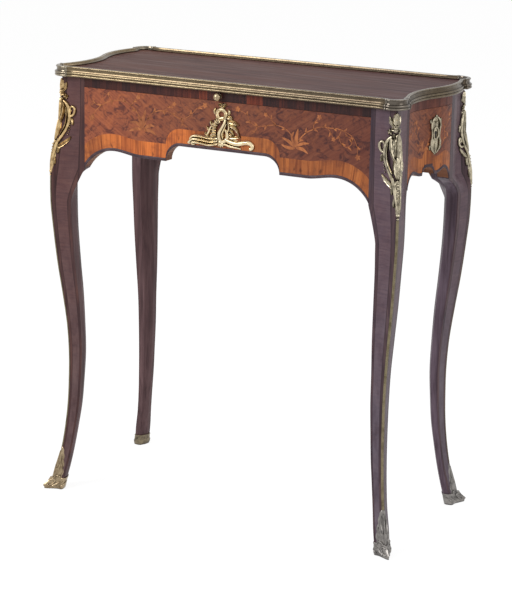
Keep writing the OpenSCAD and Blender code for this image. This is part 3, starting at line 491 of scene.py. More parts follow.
def make_ground(name, ends):
    """Tulipwood ground, quartered so that the figure climbs away from the middle on both sides."""
    f = Finish(name)
    along, z = f.axis("Y" if ends else "X"), f.axis("Z")
    side = f.sums("ABSOLUTE", along)
    lean = f.sums("SUBTRACT", f.times(side, 0.8), f.times(z, -0.1))
    fall = f.sums("SUBTRACT", f.times(side, 0.55), f.times(z, 0.83))
    vector = f.vector(f.times(fall, 260.0), f.times(lean, 14.0), f.sums("SIGN", along))
    colour, streak, pores = grain(f, vector, chosen("ground_dark"), chosen("ground"),
                                  chosen("ground_light"))
    colour = f.patches(colour, f.noise(vector, 0.16, 3.0, 0.6, 1.2), 0.45, 0.7, 0.25, tone(150, 84, 56))
    colour = f.patches(colour, f.cloud((58, 58, 74), 5.0, 0.62, 1.4), 0.5, 0.62, 0.75, tone(62, 36, 40))
    colour = f.patches(colour, f.cloud((46, 46, 60), 4.0, 0.6, 1.0, (0, 40, 0)), 0.52, 0.68, 0.55,
                       tone(160, 96, 62))
    # Painted light makes the wood warmer and brighter to the left, and painted shade makes it darker and
    # more purple to the right
    colour = f.mix(f.step(along, -0.04, -0.2), colour, f.shade(colour, (1.34, 1.2, 1.1)))
    painted_shade = f.shade(colour, bpy.context.scene.table_colours.shade)
    colour = f.mix(f.step(along, -0.06, 0.26), colour, painted_shade)
    polish(f, colour, streak, pores)


def make_banding():
    """Crossbanding in short lengths, each with its grain square to the edge and its own tone."""
    f = Finish("banding")
    along, across = f.value("along"), f.value("across")

    def stretched(x, y):
        """Coordinates along and across the banding."""
        return f.vector(f.times(along, x), f.times(across, y))

    colour, streak, pores = grain(f, stretched(230.0, 10.0), tone(96, 48, 30), chosen("banding"),
                                  tone(196, 122, 68))
    colour = f.patches(colour, f.noise(stretched(75.0, 8.0), 1.0, 3.0, 0.6), 0.5, 0.64, 0.55,
                       tone(86, 44, 32))
    length = f.sums("DIVIDE", along, BANDING_LENGTH * MM)
    own = f.add("TexWhiteNoise", {"W": f.sums("FLOOR", length)}, noise_dimensions="1D").outputs["Value"]
    colour = f.mix(f.step(own, 0.0, 1.0), f.mix(0.5, colour, tone(112, 56, 40)), colour)
    bits = f.step(f.noise(stretched(130.0, 60.0), 1.0, 2.0, 0.4), 0.62, 0.7)
    colour = f.tint(f.times(bits, f.less(f.step(across, 0.007, 0.013))), colour, 0.6, tone(50, 28, 26))
    colour = f.patches(colour, f.cloud((30, 30, 60), 3.0, 0.6), 0.5, 0.7, 0.5, tone(98, 52, 42))
    seam = f.sums("LESS_THAN", f.sums("FRACT", length), 0.012)
    colour = f.mix(f.times(seam, 0.5), colour, tone(84, 42, 30))
    # Painted light: the banding is made brighter between the left leg and the mount
    x = f.axis("X")
    glow = f.times(f.step(x, -0.27, -0.17), f.step(x, -0.02, -0.07))
    polish(f, f.mix(glow, colour, f.shade(colour, (1.5, 1.3, 1.1))), streak, pores)


def make_wood(name, dark, mid, light, scale, rough=(0.4, 0.55), coat=0.06):
    """Plain veneer or solid wood with its grain along the axis that is scaled least."""
    f = Finish(name)
    colour, streak, pores = grain(f, f.place(scale), tone(*dark), tone(*mid), tone(*light))
    polish(f, colour, streak, pores, rough, coat)


def make_top():
    """Veneer of the top: long quiet streaks, warm and reddish to the left, and darker and cooler to the
    right in painted shade.
    """
    f = Finish("top_veneer")
    colour, streak, pores = grain(f, f.place((9, 130, 130), (0, 0, 4)), tone(62, 45, 47), chosen("top"),
                                  tone(100, 78, 74))
    colour = f.patches(colour, f.cloud((5, 38, 38), 5.0, 0.6, 0.5, (0, 0, 3)), 0.46, 0.68, 0.55,
                       tone(98, 62, 52))
    colour = f.patches(colour, f.cloud((7, 70, 70), 4.0, 0.6, 0.3, (0, 0, 5)), 0.55, 0.7, 0.4,
                       tone(52, 36, 38))
    # Painted shade: the top is made darker and cooler to the right, and warmer to the left
    colour = f.mix(f.step(f.axis("X"), -0.3, 0.3), f.shade(colour, (1.0, 0.93, 0.86)),
                   f.shade(colour, (0.84, 0.86, 0.98)))
    polish(f, colour, streak, pores, (0.4, 0.5), 0.0, 0.2, 0.03)


def make_leg_wood():
    """Leg veneer: a redder crossgrained panel between dark strings and borders, and plain inner faces."""
    f = Finish("leg_veneer")
    across, height = f.value("across"), f.value("height")
    border, streak, pores = grain(f, f.place((170, 170, 9)), tone(44, 28, 32), tone(72, 48, 50),
                                  tone(100, 70, 68), tone(66, 52, 60))
    panel, _, _ = grain(f, f.vector(f.times(height, 230.0), f.times(across, 1.2)), tone(76, 48, 52),
                        tone(94, 62, 64), tone(112, 78, 76), tone(74, 54, 62))
    grey, _, _ = grain(f, f.place((60, 60, 26)), tone(66, 52, 58), tone(92, 76, 82), tone(116, 98, 102))
    panel = f.mix(f.step(height, 0.5, 0.2), f.mix(0.25, panel, grey), f.mix(0.7, panel, grey))
    inside = f.times(f.step(across, 0.2, 0.215), f.less(f.step(across, 0.8, 0.815)))
    colour = f.mix(inside, border, panel)
    for low in (0.175, 0.8):
        line = f.times(f.step(across, low, low + 0.006), f.less(f.step(across, low + 0.034, low + 0.04)))
        colour = f.mix(f.times(line, 0.55), colour, tone(40, 26, 28))
    inner, _, _ = grain(f, f.place((120, 120, 8)), tone(58, 40, 44), tone(86, 64, 70), tone(112, 88, 94))
    colour = f.mix(f.step(across, 1.02, 1.1), colour, inner)
    # Painted reflection makes the legs lighter, greyer and bluer to the right; to the left they are made
    # redder
    colour = f.mix(f.step(f.axis("X"), -0.2, 0.2), f.shade(colour, (0.98, 0.92, 0.82)),
                   f.shade(colour, (0.98, 1.2, 1.34)))
    polish(f, colour, streak, pores)


def make_brass(name, bright, dull, recess, rough, reach=0.004, tarnish=0.45, hammered=0.00012, lined=False):
    """Gilt or lacquered brass that is bright where it is rubbed, darkened by painted shade and patina in
    its recesses and by tarnish in patches.
    """
    f = Finish(name)
    recess = tone(*recess)
    cover = f.cloud((90, 90, 90), 6.0, 0.65)
    colour = f.mix(f.step(cover, 0.42, 0.68), bright, dull)
    # Painted shade and patina: the recesses, found by ambient occlusion, take the recess tone, as do
    # patches of tarnish
    hidden = f.add("AmbientOcclusion", {"Distance": reach}, samples=6).outputs["AO"]
    shade_and_tarnish = f.sums("ADD", f.times(f.less(f.step(hidden, 0.42, 0.9)), 0.3 if lined else 1.0),
                   f.times(f.step(cover, 0.6, 0.85), tarnish * 0.5))
    colour = f.mix(f.clamp(shade_and_tarnish), colour, recess)
    if lined:
        # Painted shade in the lines that the mesh carries, deeper in some patches than others, and painted
        # shade that makes the metal duller to the right
        patchy = f.cloud((60, 60, 60), 4.0, 0.6)
        line_shade = f.times(f.value("line"), f.sums("MULTIPLY_ADD", patchy, 0.5, 0.6))
        colour = f.mix(f.clamp(line_shade), colour, recess)
        colour = f.mix(f.step(f.axis("X"), -0.12, 0.16), colour, f.shade(colour, (0.62, 0.63, 0.7)))
    f.set(Base_Color=colour, Metallic=1.0,
          Roughness=f.ramp(f.cloud((320, 320, 320), 5.0, 0.6), [(0.3, rough[0]), (0.75, rough[1])]))
    f.bump(f.cloud((700, 700, 700), 4.0, 0.6), hammered, 0.4)


def make_leather():
    """Worn red leather with a fine grain."""
    f = Finish("leather")
    cells = f.add("TexVoronoi", {"Vector": f.place(), "Scale": 900.0, "Randomness": 1.0},
                  feature="DISTANCE_TO_EDGE").outputs["Distance"]
    wear = f.cloud((22, 22, 22), 6.0, 0.6)
    colour = f.ramp(wear, [(0.3, tone(74, 20, 20)), (0.6, tone(104, 32, 28)), (0.85, tone(128, 52, 40))])
    f.set(Base_Color=colour, Roughness=f.ramp(wear, [(0.3, 0.6), (0.8, 0.42)]), Specular_IOR_Level=0.35)
    f.bump(f.step(cells, 0.0, 0.12), 0.0002, 0.6)


def make_slide_blocks():
    """Alternate dark and red blocks of veneer with their grain upright."""
    f = Finish("slide_blocks")
    along, across, x = f.value("along"), f.value("across"), f.axis("X")
    vector = f.vector(f.times(x, 300.0), f.times(across, 20.0), f.times(along, 9.0))
    dark, streak, pores = grain(f, vector, tone(30, 18, 20), tone(48, 28, 28), tone(66, 38, 34))
    red, _, _ = grain(f, vector, tone(70, 32, 24), tone(112, 50, 34), tone(140, 70, 46))
    own = f.add("TexWhiteNoise", {"W": f.times(along, 1000.0)}, noise_dimensions="1D").outputs["Value"]
    middle = f.less(f.step(f.sums("ABSOLUTE", f.sums("SUBTRACT", x, 0.01)), 0.055, 0.1))
    redness = f.times(f.step(own, 0.42, 0.58), f.sums("MULTIPLY_ADD", middle, 0.75, 0.15))
    polish(f, f.mix(redness, dark, red), streak, pores)


def make_shadow():
    """Dark inside of the keyhole."""
    f = Finish("shadow")
    depth = f.cloud((900, 900, 900), 3.0, 0.6)
    f.set(Base_Color=f.ramp(depth, [(0.2, (0.006, 0.005, 0.004, 1)), (0.8, (0.02, 0.016, 0.012, 1))]),
          Roughness=0.8)


def make_inlay():
    """Pale fruitwood with darker patches, as if scorched."""
    f = Finish("inlay")
    streak = f.cloud((240, 240, 60), 7.0, 0.6, 0.0, (0, 30, 0))
    patch = f.cloud((45, 45, 45), 3.0, 0.5)
    colour = f.ramp(streak, [(0.25, tone(132, 76, 48)), (0.5, chosen("inlay")), (0.8, tone(186, 120, 80))])
    colour = f.tint(f.step(patch, 0.42, 0.66), colour, 0.7, tone(110, 62, 46))
    f.set(Base_Color=colour, Roughness=f.ramp(streak, [(0.2, 0.5), (0.8, 0.4)]), Coat_Weight=0.06,
          Coat_Roughness=0.2, Specular_IOR_Level=0.16)
    f.bump(streak, 0.0001, 0.25)


def make_floor_finish():
    """Pale floor that stays white in the picture, with the table's shadow on it."""
    f = Finish("floor")
    f.tree.nodes.remove(f.shader)
    stage = bpy.context.scene.table_stage
    soft = f.cloud((0.7, 0.7, 0.7), 2.0, 0.5)
    plain = f.add("BsdfDiffuse", {"Color": f.ramp(soft, [(0.0, 0.8), (1.0, 0.82)])})
    lit = f.add("BsdfDiffuse", {"Color": (stage.floor_tone,) * 3 + (1,)})
    glow = f.add("Emission", {"Color": WHITE, "Strength": stage.floor_glow})
    white = f.add("AddShader", {0: lit.outputs[0], 1: glow.outputs[0]})
    shown = f.add("MixShader", {0: f.seen(), 1: plain.outputs[0], 2: white.outputs[0]})
    f.tree.links.new(shown.outputs[0], f.output.inputs["Surface"])
    return f.material


# Legs -----------------------------------------------------------------

FOOT_Z, KNEE_Z, ARCH_Z, POST_Z, END_POST_Z = 2, 505, 530, 562, 574
# Height, then the outer and the inner edge of the section along the diagonal from the corner line
STATIONS = [(2, 12, -14), (35, 4, -23.5), (70, -6, -31.5), (110, -13, -39), (150, -17.5, -45.5),
            (190, -19.5, -49), (240, -20, -52), (290, -17, -51), (345, -9.5, -48.5), (400, -1, -44),
            (460, 6, -40), (505, 10, -39), (562, 9.5, -39), (600, 3, -39), (640, -6, -39), (713, -10, -39)]
# Places of the ten points of a section across the veneered faces: 0 at the outer edge, 1 at the far edge
# of a face, and more than 1 round the inner side
SECTION_ACROSS = (0, 0.5, 1, 1.6, 2, 1.6, 1, 0.667, 0.333, 0)


def station_slope(k, i):
    """Slope of the height curve at a station."""
    a, b = STATIONS[max(0, i - 1)], STATIONS[min(len(STATIONS) - 1, i + 1)]
    return (b[k] - a[k]) / (b[0] - a[0])


def profile(k, z):
    """Smooth height curve through the stations."""
    i = max(j for j in range(len(STATIONS) - 1) if STATIONS[j][0] <= z)
    a, b = STATIONS[i], STATIONS[i + 1]
    h = b[0] - a[0]
    t = (z - a[0]) / h
    return (a[k] * (1 + 2 * t) * (1 - t) ** 2 + station_slope(k, i) * h * t * (1 - t) ** 2
            + b[k] * t * t * (3 - 2 * t) + station_slope(k, i + 1) * h * t * t * (t - 1))


def edge_point(z):
    """Place of the outer edge at a height."""
    return CORNER + profile(1, z) * DIAG


def turned(z, low, high, power):
    """How far the section has turned from the round leg into the square post at a height."""
    return max(0.0, min(1.0, (z - low) / (high - low))) ** power


@cache
def leg_ring(z, side):
    """Ten points round a leg at a height, for the back right corner, with Y towards that corner."""
    o, n = edge_point(z), CORNER + profile(2, z) * DIAG
    mid, half = (o + n) / 2, (o - n).length / 2
    t = turned(z, KNEE_Z, POST_Z, 1.25)
    t_in = turned(z, ARCH_Z, POST_Z, 2.5)
    t_end = turned(z, ARCH_Z + 5, END_POST_Z, 2.2)
    wall_end = end_x(side * END_HALF)
    l1 = (1 - t) * (mid + half * (ACROSS - 0.22 * DIAG)) + t * Vector((PANEL_X, WALL_Y))
    l1_in = (1 - t_in) * (mid + half * (0.5 * ACROSS - 0.7 * DIAG)) + t_in * Vector((PANEL_X, INNER_Y))
    n_in = (1 - t_in) * (mid - 0.93 * half * DIAG) + t_in * n
    l2_in = ((1 - t_end) * (mid - half * (0.55 * ACROSS + 1.02 * DIAG))
             + t_end * Vector((wall_end - APRON_T, END_HALF)))
    l2 = (1 - t_end) * (mid - half * (1.02 * ACROSS + 0.38 * DIAG)) + t_end * Vector((wall_end, END_HALF))
    o1, o2 = o - Vector((FILLET_W, 0)), o - Vector((0, FILLET_W))

    def follow(p):
        """Keeps a point of the end face inside the curve of the end."""
        share = 0.7 * t_end
        return Vector(((1 - share) * p.x + share * min(p.x, end_x(side * p.y)), p.y))

    s1, s2 = follow(o2 + (l2 - o2) * 0.33), follow(o2 + (l2 - o2) * 0.67)
    return [o1, (o1 + l1) / 2, l1, l1_in, n_in, l2_in, l2, s2, s1, o2]


def fine_ring(z, side):
    """A section with each side of its outline divided, the end face drawn as a smooth curve."""
    ring, parts = leg_ring(z, side), 4
    points, across = [], []
    for j in range(10):
        a, b = ring[j], ring[(j + 1) % 10]
        n = 1 if j == 9 else parts
        for i in range(n):
            t = i / n
            if 6 <= j <= 8:
                p0 = ring[j - 1] if j > 6 else a + (a - b)
                p3 = ring[j + 2] if j < 8 else b + (b - a)
                p = spline(p0, a, b, p3, t)
            else:
                p = a + (b - a) * t
            points.append(p)
            across.append(SECTION_ACROSS[j] + (SECTION_ACROSS[(j + 1) % 10] - SECTION_ACROSS[j]) * t)
    return points, across


def corner_signs(name):
    """Signs of X and Y at the corner that a name ends with."""
    return (-1 if name.endswith("left") else 1), (-1 if "front" in name else 1)


def leg_place(xs, ys):
    """Surface of a leg: distance from its outer edge (negative on the front or back), and height."""
    flat = FILLET_W / math.sqrt(2)

    def place(s, z, out):
        ring = leg_ring(z, ys)
        way_f = (ring[1] - ring[0]).normalized()
        first = (ring[8] - ring[9]).length
        beyond = abs(s) - flat - first
        way_e = ((ring[7] - ring[8]) if s > 0 and beyond > 0 else (ring[8] - ring[9])).normalized()
        out_f, out_e = Vector((way_f.y, -way_f.x)), Vector((-way_e.y, way_e.x))
        if abs(s) <= flat:
            base = ring[0].lerp(ring[9], (s / flat + 1) / 2)
        elif s < 0:
            base = ring[0] + (abs(s) - flat) * way_f
        elif beyond > 0:
            base = ring[8] + beyond * way_e
        else:
            base = ring[9] + (s - flat) * way_e
        w = max(0.0, min(1.0, 0.5 + s / 12))
        p = base + out * ((1 - w) * out_f + w * out_e).normalized()
        return Vector((xs * p.x, ys * p.y, z))

    return place


def build_leg(name):
    """One veneered cabriole leg."""
    xs, ys = corner_signs(name)
    # Sections 6 mm apart up the leg, closer where it turns into the post, and about 6.5 mm apart above
    levels = {FOOT_Z, 6, 12, RIM_Z, *(FOOT_Z + 6 * i for i in range(3, 83)),
              *(KNEE_Z + 3.5 * i for i in range(22)), *(582 + 6.55 * i for i in range(20))}
    levels = sorted(z for z in levels if z <= RIM_Z)
    verts, values, heights, count = [], [], [], 0
    for z in levels:
        points, across = fine_ring(z, ys)
        count = len(points)
        verts += [(xs * p.x, ys * p.y, z) for p in points]
        values += across
        heights += [z * MM] * count
    make_piece("veneered_" + name, verts, loft_faces(len(levels), count), "table", "leg_veneer", [name],
               32.0, {"across": values, "height": heights})


def build_fillet(xs, ys):
    """Brass fillet with a rounded nose along the outer edge of a leg, between the sabot and the mount."""
    half, nose, foot = 2.1, 1.6, 0.3
    low, high = LEAF_TOP, MOUNT_TOP - MOUNT_H + 1
    steps, parts = 90, 8
    rows = []
    for i in range(steps + 1):
        z = low + (high - low) * i / steps
        places = [-half + 2 * half * j / parts for j in range(parts + 1)]
        rows.append([(s, z, nose * (1 - (abs(s) / (half + 0.2)) ** 3)) for s in places]
                    + [(half, z, -foot), (-half, z, -foot)])
    r = Relief(leg_place(xs, ys))
    r.rings(rows)
    return r


def closed_run(ring, parts):
    """Smooth closed outline through a ring of points."""
    n = len(ring)
    return [spline(ring[j - 1], ring[j], ring[(j + 1) % n], ring[(j + 2) % n], i / parts)
            for j in range(n) for i in range(parts)]


# How far a shoe stands out from the leg, and its toe from the corner line, as (height, distance)
SHOE_PROFILE = [(0, 0.9), (1.2, 1.5), (4, 1.8), (8, 1.6), (12, 1.3), (16.4, 0.9), (17.2, 1.2), (18.6, 1.4),
                (19.6, 1.3), (20, 1.0)]
TOE_LINE = [(0, 20.8), (6, 22.2), (14, 14.2), (20, 11.4)]
TOE_HALF = 1.6


def between(table, x):
    """Value at a place in a table of (place, value)."""
    for (x0, y0), (x1, y1) in zip(table, table[1:]):
        if x <= x1:
            return y0 + (y1 - y0) * max(0.0, x - x0) / (x1 - x0)
    return table[-1][1]


@cache
def shoe_ring(z):
    """Smooth outline of a shoe at a height, from one side of the toe round to the other."""
    ring = leg_ring(max(z, FOOT_Z), 1)
    mid = (ring[0] + ring[4]) / 2
    ring = [p + between(SHOE_PROFILE, z) * (p - mid).normalized() for p in ring]
    toe = CORNER + between(TOE_LINE, z) * DIAG
    return closed_run([toe + TOE_HALF * ACROSS] + ring[1:9] + [toe - TOE_HALF * ACROSS], 4)


def shoe_place(xs, ys):
    """Surface of a shoe: distance round it from the toe (negative on the front or back), and height."""
    def place(s, z, out):
        ring = shoe_ring(z)
        n = len(ring)
        toe = n - 2
        step = 1 if s < 0 else -1
        i, left = toe, abs(s)
        while left > (length := (ring[(i + step) % n] - ring[i % n]).length):
            left -= length
            i += step
        a, b = ring[i % n], ring[(i + step) % n]
        way = (b - a) / length
        normal = Vector((way.y, -way.x)) * step
        middle = sum(ring, Vector((0, 0))) / n
        p = a + left * way
        if normal.dot(p - middle) < 0:
            normal = -normal
        share = min(1.0, abs(s) / 4)
        p += out * (share * normal + (1 - share) * DIAG).normalized()
        return Vector((xs * p.x, ys * p.y, z))

    return place


def build_sabot(name, finish):
    """Cast shoe with a moulded collar, a pointed toe, scrolls and a fluted leaf up the outer edge."""
    xs, ys = corner_signs(name)
    r = Relief(leg_place(xs, ys))
    levels = (0, 0.6, 1.2, 2.5, 4, 6, 8, 10, 12, 13.5, 15, 16.4, 17.2, 18, 18.6, 19.2, 19.6, COLLAR_Z)
    rows = [[Vector((xs * p.x, ys * p.y, z)) for p in shoe_ring(z)] for z in levels]
    r.verts += [p for row in rows for p in row]
    r.faces += loft_faces(len(rows), len(rows[0]))
    # Leaf up the edge, widest at the collar, with a stem and side leaves
    r.leaf([(0, 12), (0, 44), (0, LEAF_TOP)], 36, 2.3, lobes=5, ribs=2, steps=14, sink=0.2,
           outline=[1.0, 0.97, 0.93, 0.86, 0.7, 0.54, 0.38, 0.12])
    for s in (-1, 1):
        r.leaf([(5 * s, 17), (10 * s, 30), (9 * s, 46)], 11, 3.3, steps=7, sink=0.2)
        r.leaf([(2 * s, 36), (5 * s, 50), (2.5 * s, 64)], 7, 3.3, sink=0.2)
        r.roll([(2 * s, 18), (6 * s, 23), (11 * s, 23), (13.5 * s, 18.5)], [2.6, 3.0, 2.2],
               [3.6, 3.6, 2.6], steps=4)
    r.roll([(0, 20), (0, 40), (0, 66)], [3.4, 2.8, 1.6], [3.8, 3.4, 2.6])
    # Scrolls and leaves round the shoe
    shoe = Relief(shoe_place(xs, ys))
    for s in (-1, 1):
        shoe.roll([(3 * s, 15), (8 * s, 16.5), (13 * s, 13), (12 * s, 7.5), (7.5 * s, 5.5), (6 * s, 9)],
                  [2.2, 3.0, 3.0, 2.0], [1.2, 1.5, 1.5, 1.0], steps=4)
        shoe.leaf([(14 * s, 4), (20 * s, 9), (26 * s, 15)], 7.5, 1.5)
        shoe.leaf([(28 * s, 3), (33 * s, 8), (37 * s, 14)], 6.5, 1.3, steps=5)
    shoe.leaf([(0, 4), (0, 9), (0, 16)], 6, 1.0, lobes=2, steps=5)
    r.take(shoe)
    r.piece("gilt_" + name, "table", finish, [name], "gilt_mount")


def build_corner_mount(name, finish):
    """Pierced casting down the edge of a leg: flowers, two stems, scrolls and a long leaf."""
    xs, ys = corner_signs(name)
    surface = leg_place(xs, ys)

    def place(s, drop, out):
        return surface(s, MOUNT_TOP - drop, out)

    r = Relief(place)
    # Crown of leaves, and the flowers under it
    r.leaf([(0, 20), (0, 11), (0, 2)], 15, 4.0, ribs=2, steps=9)
    for s in (-1, 1):
        r.leaf([(3 * s, 22), (8.5 * s, 16), (10.5 * s, 7)], 7.5, 3.2)
    r.flower(-1, 25, 8, 5.0)
    for s, z, size in ((-9.5, 31, 5.4), (7.5, 30, 5.2), (-3, 37.5, 4.8)):
        r.flower(s, z, size, 4.2, turn=50)
    # Body of overlapping leaves between the stems
    r.leaf([(2.5, 34), (2, 57), (1, 80)], 19, 4.2, lobes=5, ribs=3, steps=14)
    r.leaf([(-7, 40), (-5.5, 60), (0, 80)], 9.5, 5.2, lobes=4, steps=9)
    r.leaf([(7, 44), (7.5, 62), (3, 84)], 8, 5.0, lobes=4, steps=9)
    r.leaf([(1, 70), (0, 88), (0, 104)], 13, 5.0, lobes=4, ribs=2, steps=9)
    # Stems, the left one the stronger, each with a roll along its inner side
    r.roll([(-6, 38), (-13, 44), (-17, 54), (-18.5, 66), (-16.5, 80), (-11, 95), (-5, 108), (-2, 122)],
           [4.4, 6.6, 7.4, 7.2, 6.6, 6.2, 5.4, 4.0], [3.4, 4.6, 4.8, 4.6, 4.2, 4.0, 3.8, 3.0])
    r.roll([(-12, 48), (-14, 64), (-12.2, 80), (-6.5, 94)], [1.8, 2.6, 2.6, 1.8], [4.6, 6.0, 6.0, 4.4],
           steps=6)
    r.roll([(5, 36), (11, 46), (14, 58), (14, 72), (10.5, 88), (5.5, 102), (2, 118)],
           [4.0, 5.6, 6.4, 6.0, 5.4, 4.8, 3.6], [3.2, 4.4, 4.6, 4.4, 4.0, 3.8, 2.8])
    r.roll([(9.5, 50), (11, 62), (9.8, 76), (5.5, 90)], [1.6, 2.2, 2.2, 1.6], [4.4, 5.6, 5.6, 4.2], steps=6)
    # Scrolls that stand out to both sides, and the leaves under them
    r.roll([(-17, 61), (-22, 62.5), (-27, 57), (-27, 49.5), (-22, 46.5), (-19, 51), (-21.5, 54.5)],
           [4.4, 5.2, 5.0, 4.4, 3.6, 2.6], [3.6, 4.2, 4.2, 3.8, 3.0, 2.0])
    r.roll([(14, 92), (19.5, 92.5), (24, 87), (23, 80), (18.5, 78.5), (16.8, 83), (19.2, 85.5)],
           [4.2, 4.8, 4.6, 4.0, 3.2, 2.4], [3.4, 4.0, 4.0, 3.4, 2.8, 2.0])
    r.leaf([(-17, 66), (-23, 70), (-26, 78)], 8, 3.4)
    r.leaf([(13, 58), (19, 60), (22, 68)], 7, 3.2)
    r.leaf([(-6, 116), (-14, 110), (-22, 103), (-27, 96)], 9, 3.8, lobes=4)
    r.leaf([(5, 113), (12, 107), (19, 100), (23, 94)], 8, 3.4, lobes=4)
    for k in range(6):
        r.dome(-21.2 + 0.16 * (k - 2.5) ** 2, 72 + 4.2 * k, 1.3, 2.2, sides=8, levels=3)
    # Long leaf between two ribbed stems, with beads down its middle
    r.roll([(-7, 100), (-4.5, 118), (-2.4, 136), (-0.4, 151)], [5.0, 4.6, 3.6, 2.0], [4.4, 4.2, 3.6, 2.4],
           steps=6)
    r.roll([(6, 97), (4.2, 116), (2.3, 134), (0.5, 151)], [4.6, 4.2, 3.2, 1.8], [4.2, 4.0, 3.4, 2.4],
           steps=6)
    r.leaf([(0, 104), (0, 132), (0, 160)], 15, 3.6, lobes=5, ribs=2, steps=14)
    for s in (-1, 1):
        r.leaf([(3 * s, 108), (8.5 * s, 116), (10 * s, 126)], 7.5, 3.2)
        r.leaf([(2.5 * s, 130), (6.5 * s, 137), (7 * s, 145)], 5.5, 2.8, lobes=2, steps=5)
    for k in range(8):
        r.dome(0, 110 + 5 * k, 1.9 - 0.12 * k, 5.4 - 0.32 * k, sides=10, levels=4)
    r.dome(0, 155.5, 2.8, 3.4)
    r.dome(0, 161.8, 1.9, 2.6)
    r.piece("gilt_" + name, "table", finish, [name], "gilt_mount")


# Rim ------------------------------------------------------------------

LIP_FOOT, LIP_HOLLOW = 10, 4
PLAIN_RIM_H = 16.6
GROOVE_X = 4.9
COLLAR_LENGTH, COLLAR_RISE = 5, 0.25


def rim_profile(grow=0.0):
    """Section of the rim as (distance inside the outermost bead, height), pushed out by a little."""
    top, inner = PLAIN_RIM_H, RIM_DEPTH + LIP_W
    cove = RIM_H - 4 * BEAD_R - 2 * TOP_BEAD_R
    pts = [(BEAD_R, 0)]
    for i in (0, 1):
        pts += round_points(BEAD_R, BEAD_R * (2 * i + 1), BEAD_R, range(250, 109, -20))
    r, cx, cz = 0.95 * cove, BEAD_R - 0.72 * cove, 4 * BEAD_R + cove / 2
    pts += [(cx + math.sqrt(max(0.0, r * r - (z - cz) ** 2)), z)
            for z in (4 * BEAD_R + cove * k / 8 for k in range(9))]
    pts += round_points(BEAD_R + TOP_BEAD_R, top - TOP_BEAD_R, TOP_BEAD_R, range(250, 89, -20))
    pts += [(4.3, top), (GROOVE_X, top - 0.9), (5.5, top), (7.7, top)]
    pts += round_points(inner, top, LIP_HOLLOW, range(186, 257, 10))
    pts += round_points(inner - 0.9, 12.1, 0.9, range(80, -91, -34), 0.8)
    pushed = []
    for i, (x, z) in enumerate(pts):
        (x0, z0), (x1, z1) = pts[max(0, i - 1)], pts[min(len(pts) - 1, i + 1)]
        length = math.hypot(x1 - x0, z1 - z0)
        pushed.append((x - grow * (z1 - z0) / length, min(RIM_H, max(0.0, z + grow * (x1 - x0) / length))))
    return [(RIM_DEPTH, 0)] + pushed + [(inner, LIP_FOOT + 1), (inner, LIP_FOOT), (RIM_DEPTH, LIP_FOOT)]


# Painted shade: dark lines between the rim's mouldings, as (height, depth of tone), and the painted shade
# of the hollow
COVE_TOP = PLAIN_RIM_H - 2 * TOP_BEAD_R
RIM_LINES = [(0, 0.5), (2 * BEAD_R, 0.45), (4 * BEAD_R, 1.0), (COVE_TOP, 0.5)]
HOLLOW_SHADE = 0.42


def rim_line(x, z):
    """How deep a point of the rim's section lies in painted shade: in the lines, in the hollow, in the
    groove on top and down the lip.
    """
    # Painted shadow down the inner side of the lip, deepest at its foot
    if x > RIM_DEPTH + 1:
        return max(0.0, min(1.0, (PLAIN_RIM_H - z) / 5))
    if z > PLAIN_RIM_H - 1 and x > 3.4:
        return 0.5 * max(0.0, 1 - abs(x - GROOVE_X) / 0.6)
    least = HOLLOW_SHADE if 4 * BEAD_R < z < COVE_TOP else 0.0
    return max(least, max(deep * (1 - abs(z - low) / 0.8) for low, deep in RIM_LINES))


def run_along(points):
    """Joins lists of (place, inward normal), leaving out places that come twice."""
    out = []
    for part in points:
        for p, n in part:
            if not out or (out[-1][0] - p).length > 0.05:
                out.append((p, n))
    return out


def flip_run(run, x=False, y=False):
    """Mirrors a run of the outline, and turns it round where that keeps its direction."""
    out = []
    for p, n in run:
        q, m = p.copy(), n.copy()
        if x:
            q.x, m.x = -q.x, -m.x
        if y:
            q.y, m.y = -q.y, -m.y
        out.append((q, m))
    return out[::-1] if x != y else out


def rim_lengths():
    """The eight lengths of the rim, each as (node, places and inward normals)."""
    front_bend = arc(FRONT_SWEEP, SWEEP_R, 90, A_SWEEP, -1)
    straight = [(Vector((x, -FRONT_Y)), Vector((0, 1))) for x in (-180, -90, 0, 90, 180)]
    front = run_along([flip_run(front_bend, x=True), straight, front_bend])
    end = run_along([arc(HOLLOW, END_R, *A_HOLLOW, -1), arc(SWELL, END_R, *A_SWELL, 1),
                     arc(NICK, NICK_R, *A_NICK, -1, 1.0)])
    front_ear = arc(FRONT_EAR, EAR_R, *A_EAR, 1, 1.5)
    back_ear = arc(BACK_EAR, EAR_R, *A_BACK, 1, 1.5)
    return {"rim_front": [front], "rim_back": [flip_run(front, y=True)], "rim_right": [end],
            "rim_left": [flip_run(end, x=True)],
            "rim_ears": [front_ear, back_ear, flip_run(front_ear, x=True), flip_run(back_ear, x=True)]}


def build_rim(name, runs):
    """One node of the rim."""
    section = rim_profile()
    verts, faces, lines = [], [], []
    for run in runs:
        start = len(verts)
        for p, n in run:
            verts += [(p.x + x * n.x, p.y + x * n.y, RIM_Z + z) for x, z in section]
            lines += [rim_line(*p) for p in section]
        faces += loft_faces(len(run), len(section), start)
    finish = "rim_ear_brass" if name == "rim_ears" else "rim_brass"
    make_piece("moulded_" + name, verts, faces, "table", finish, [name], 40.0, {"line": lines})


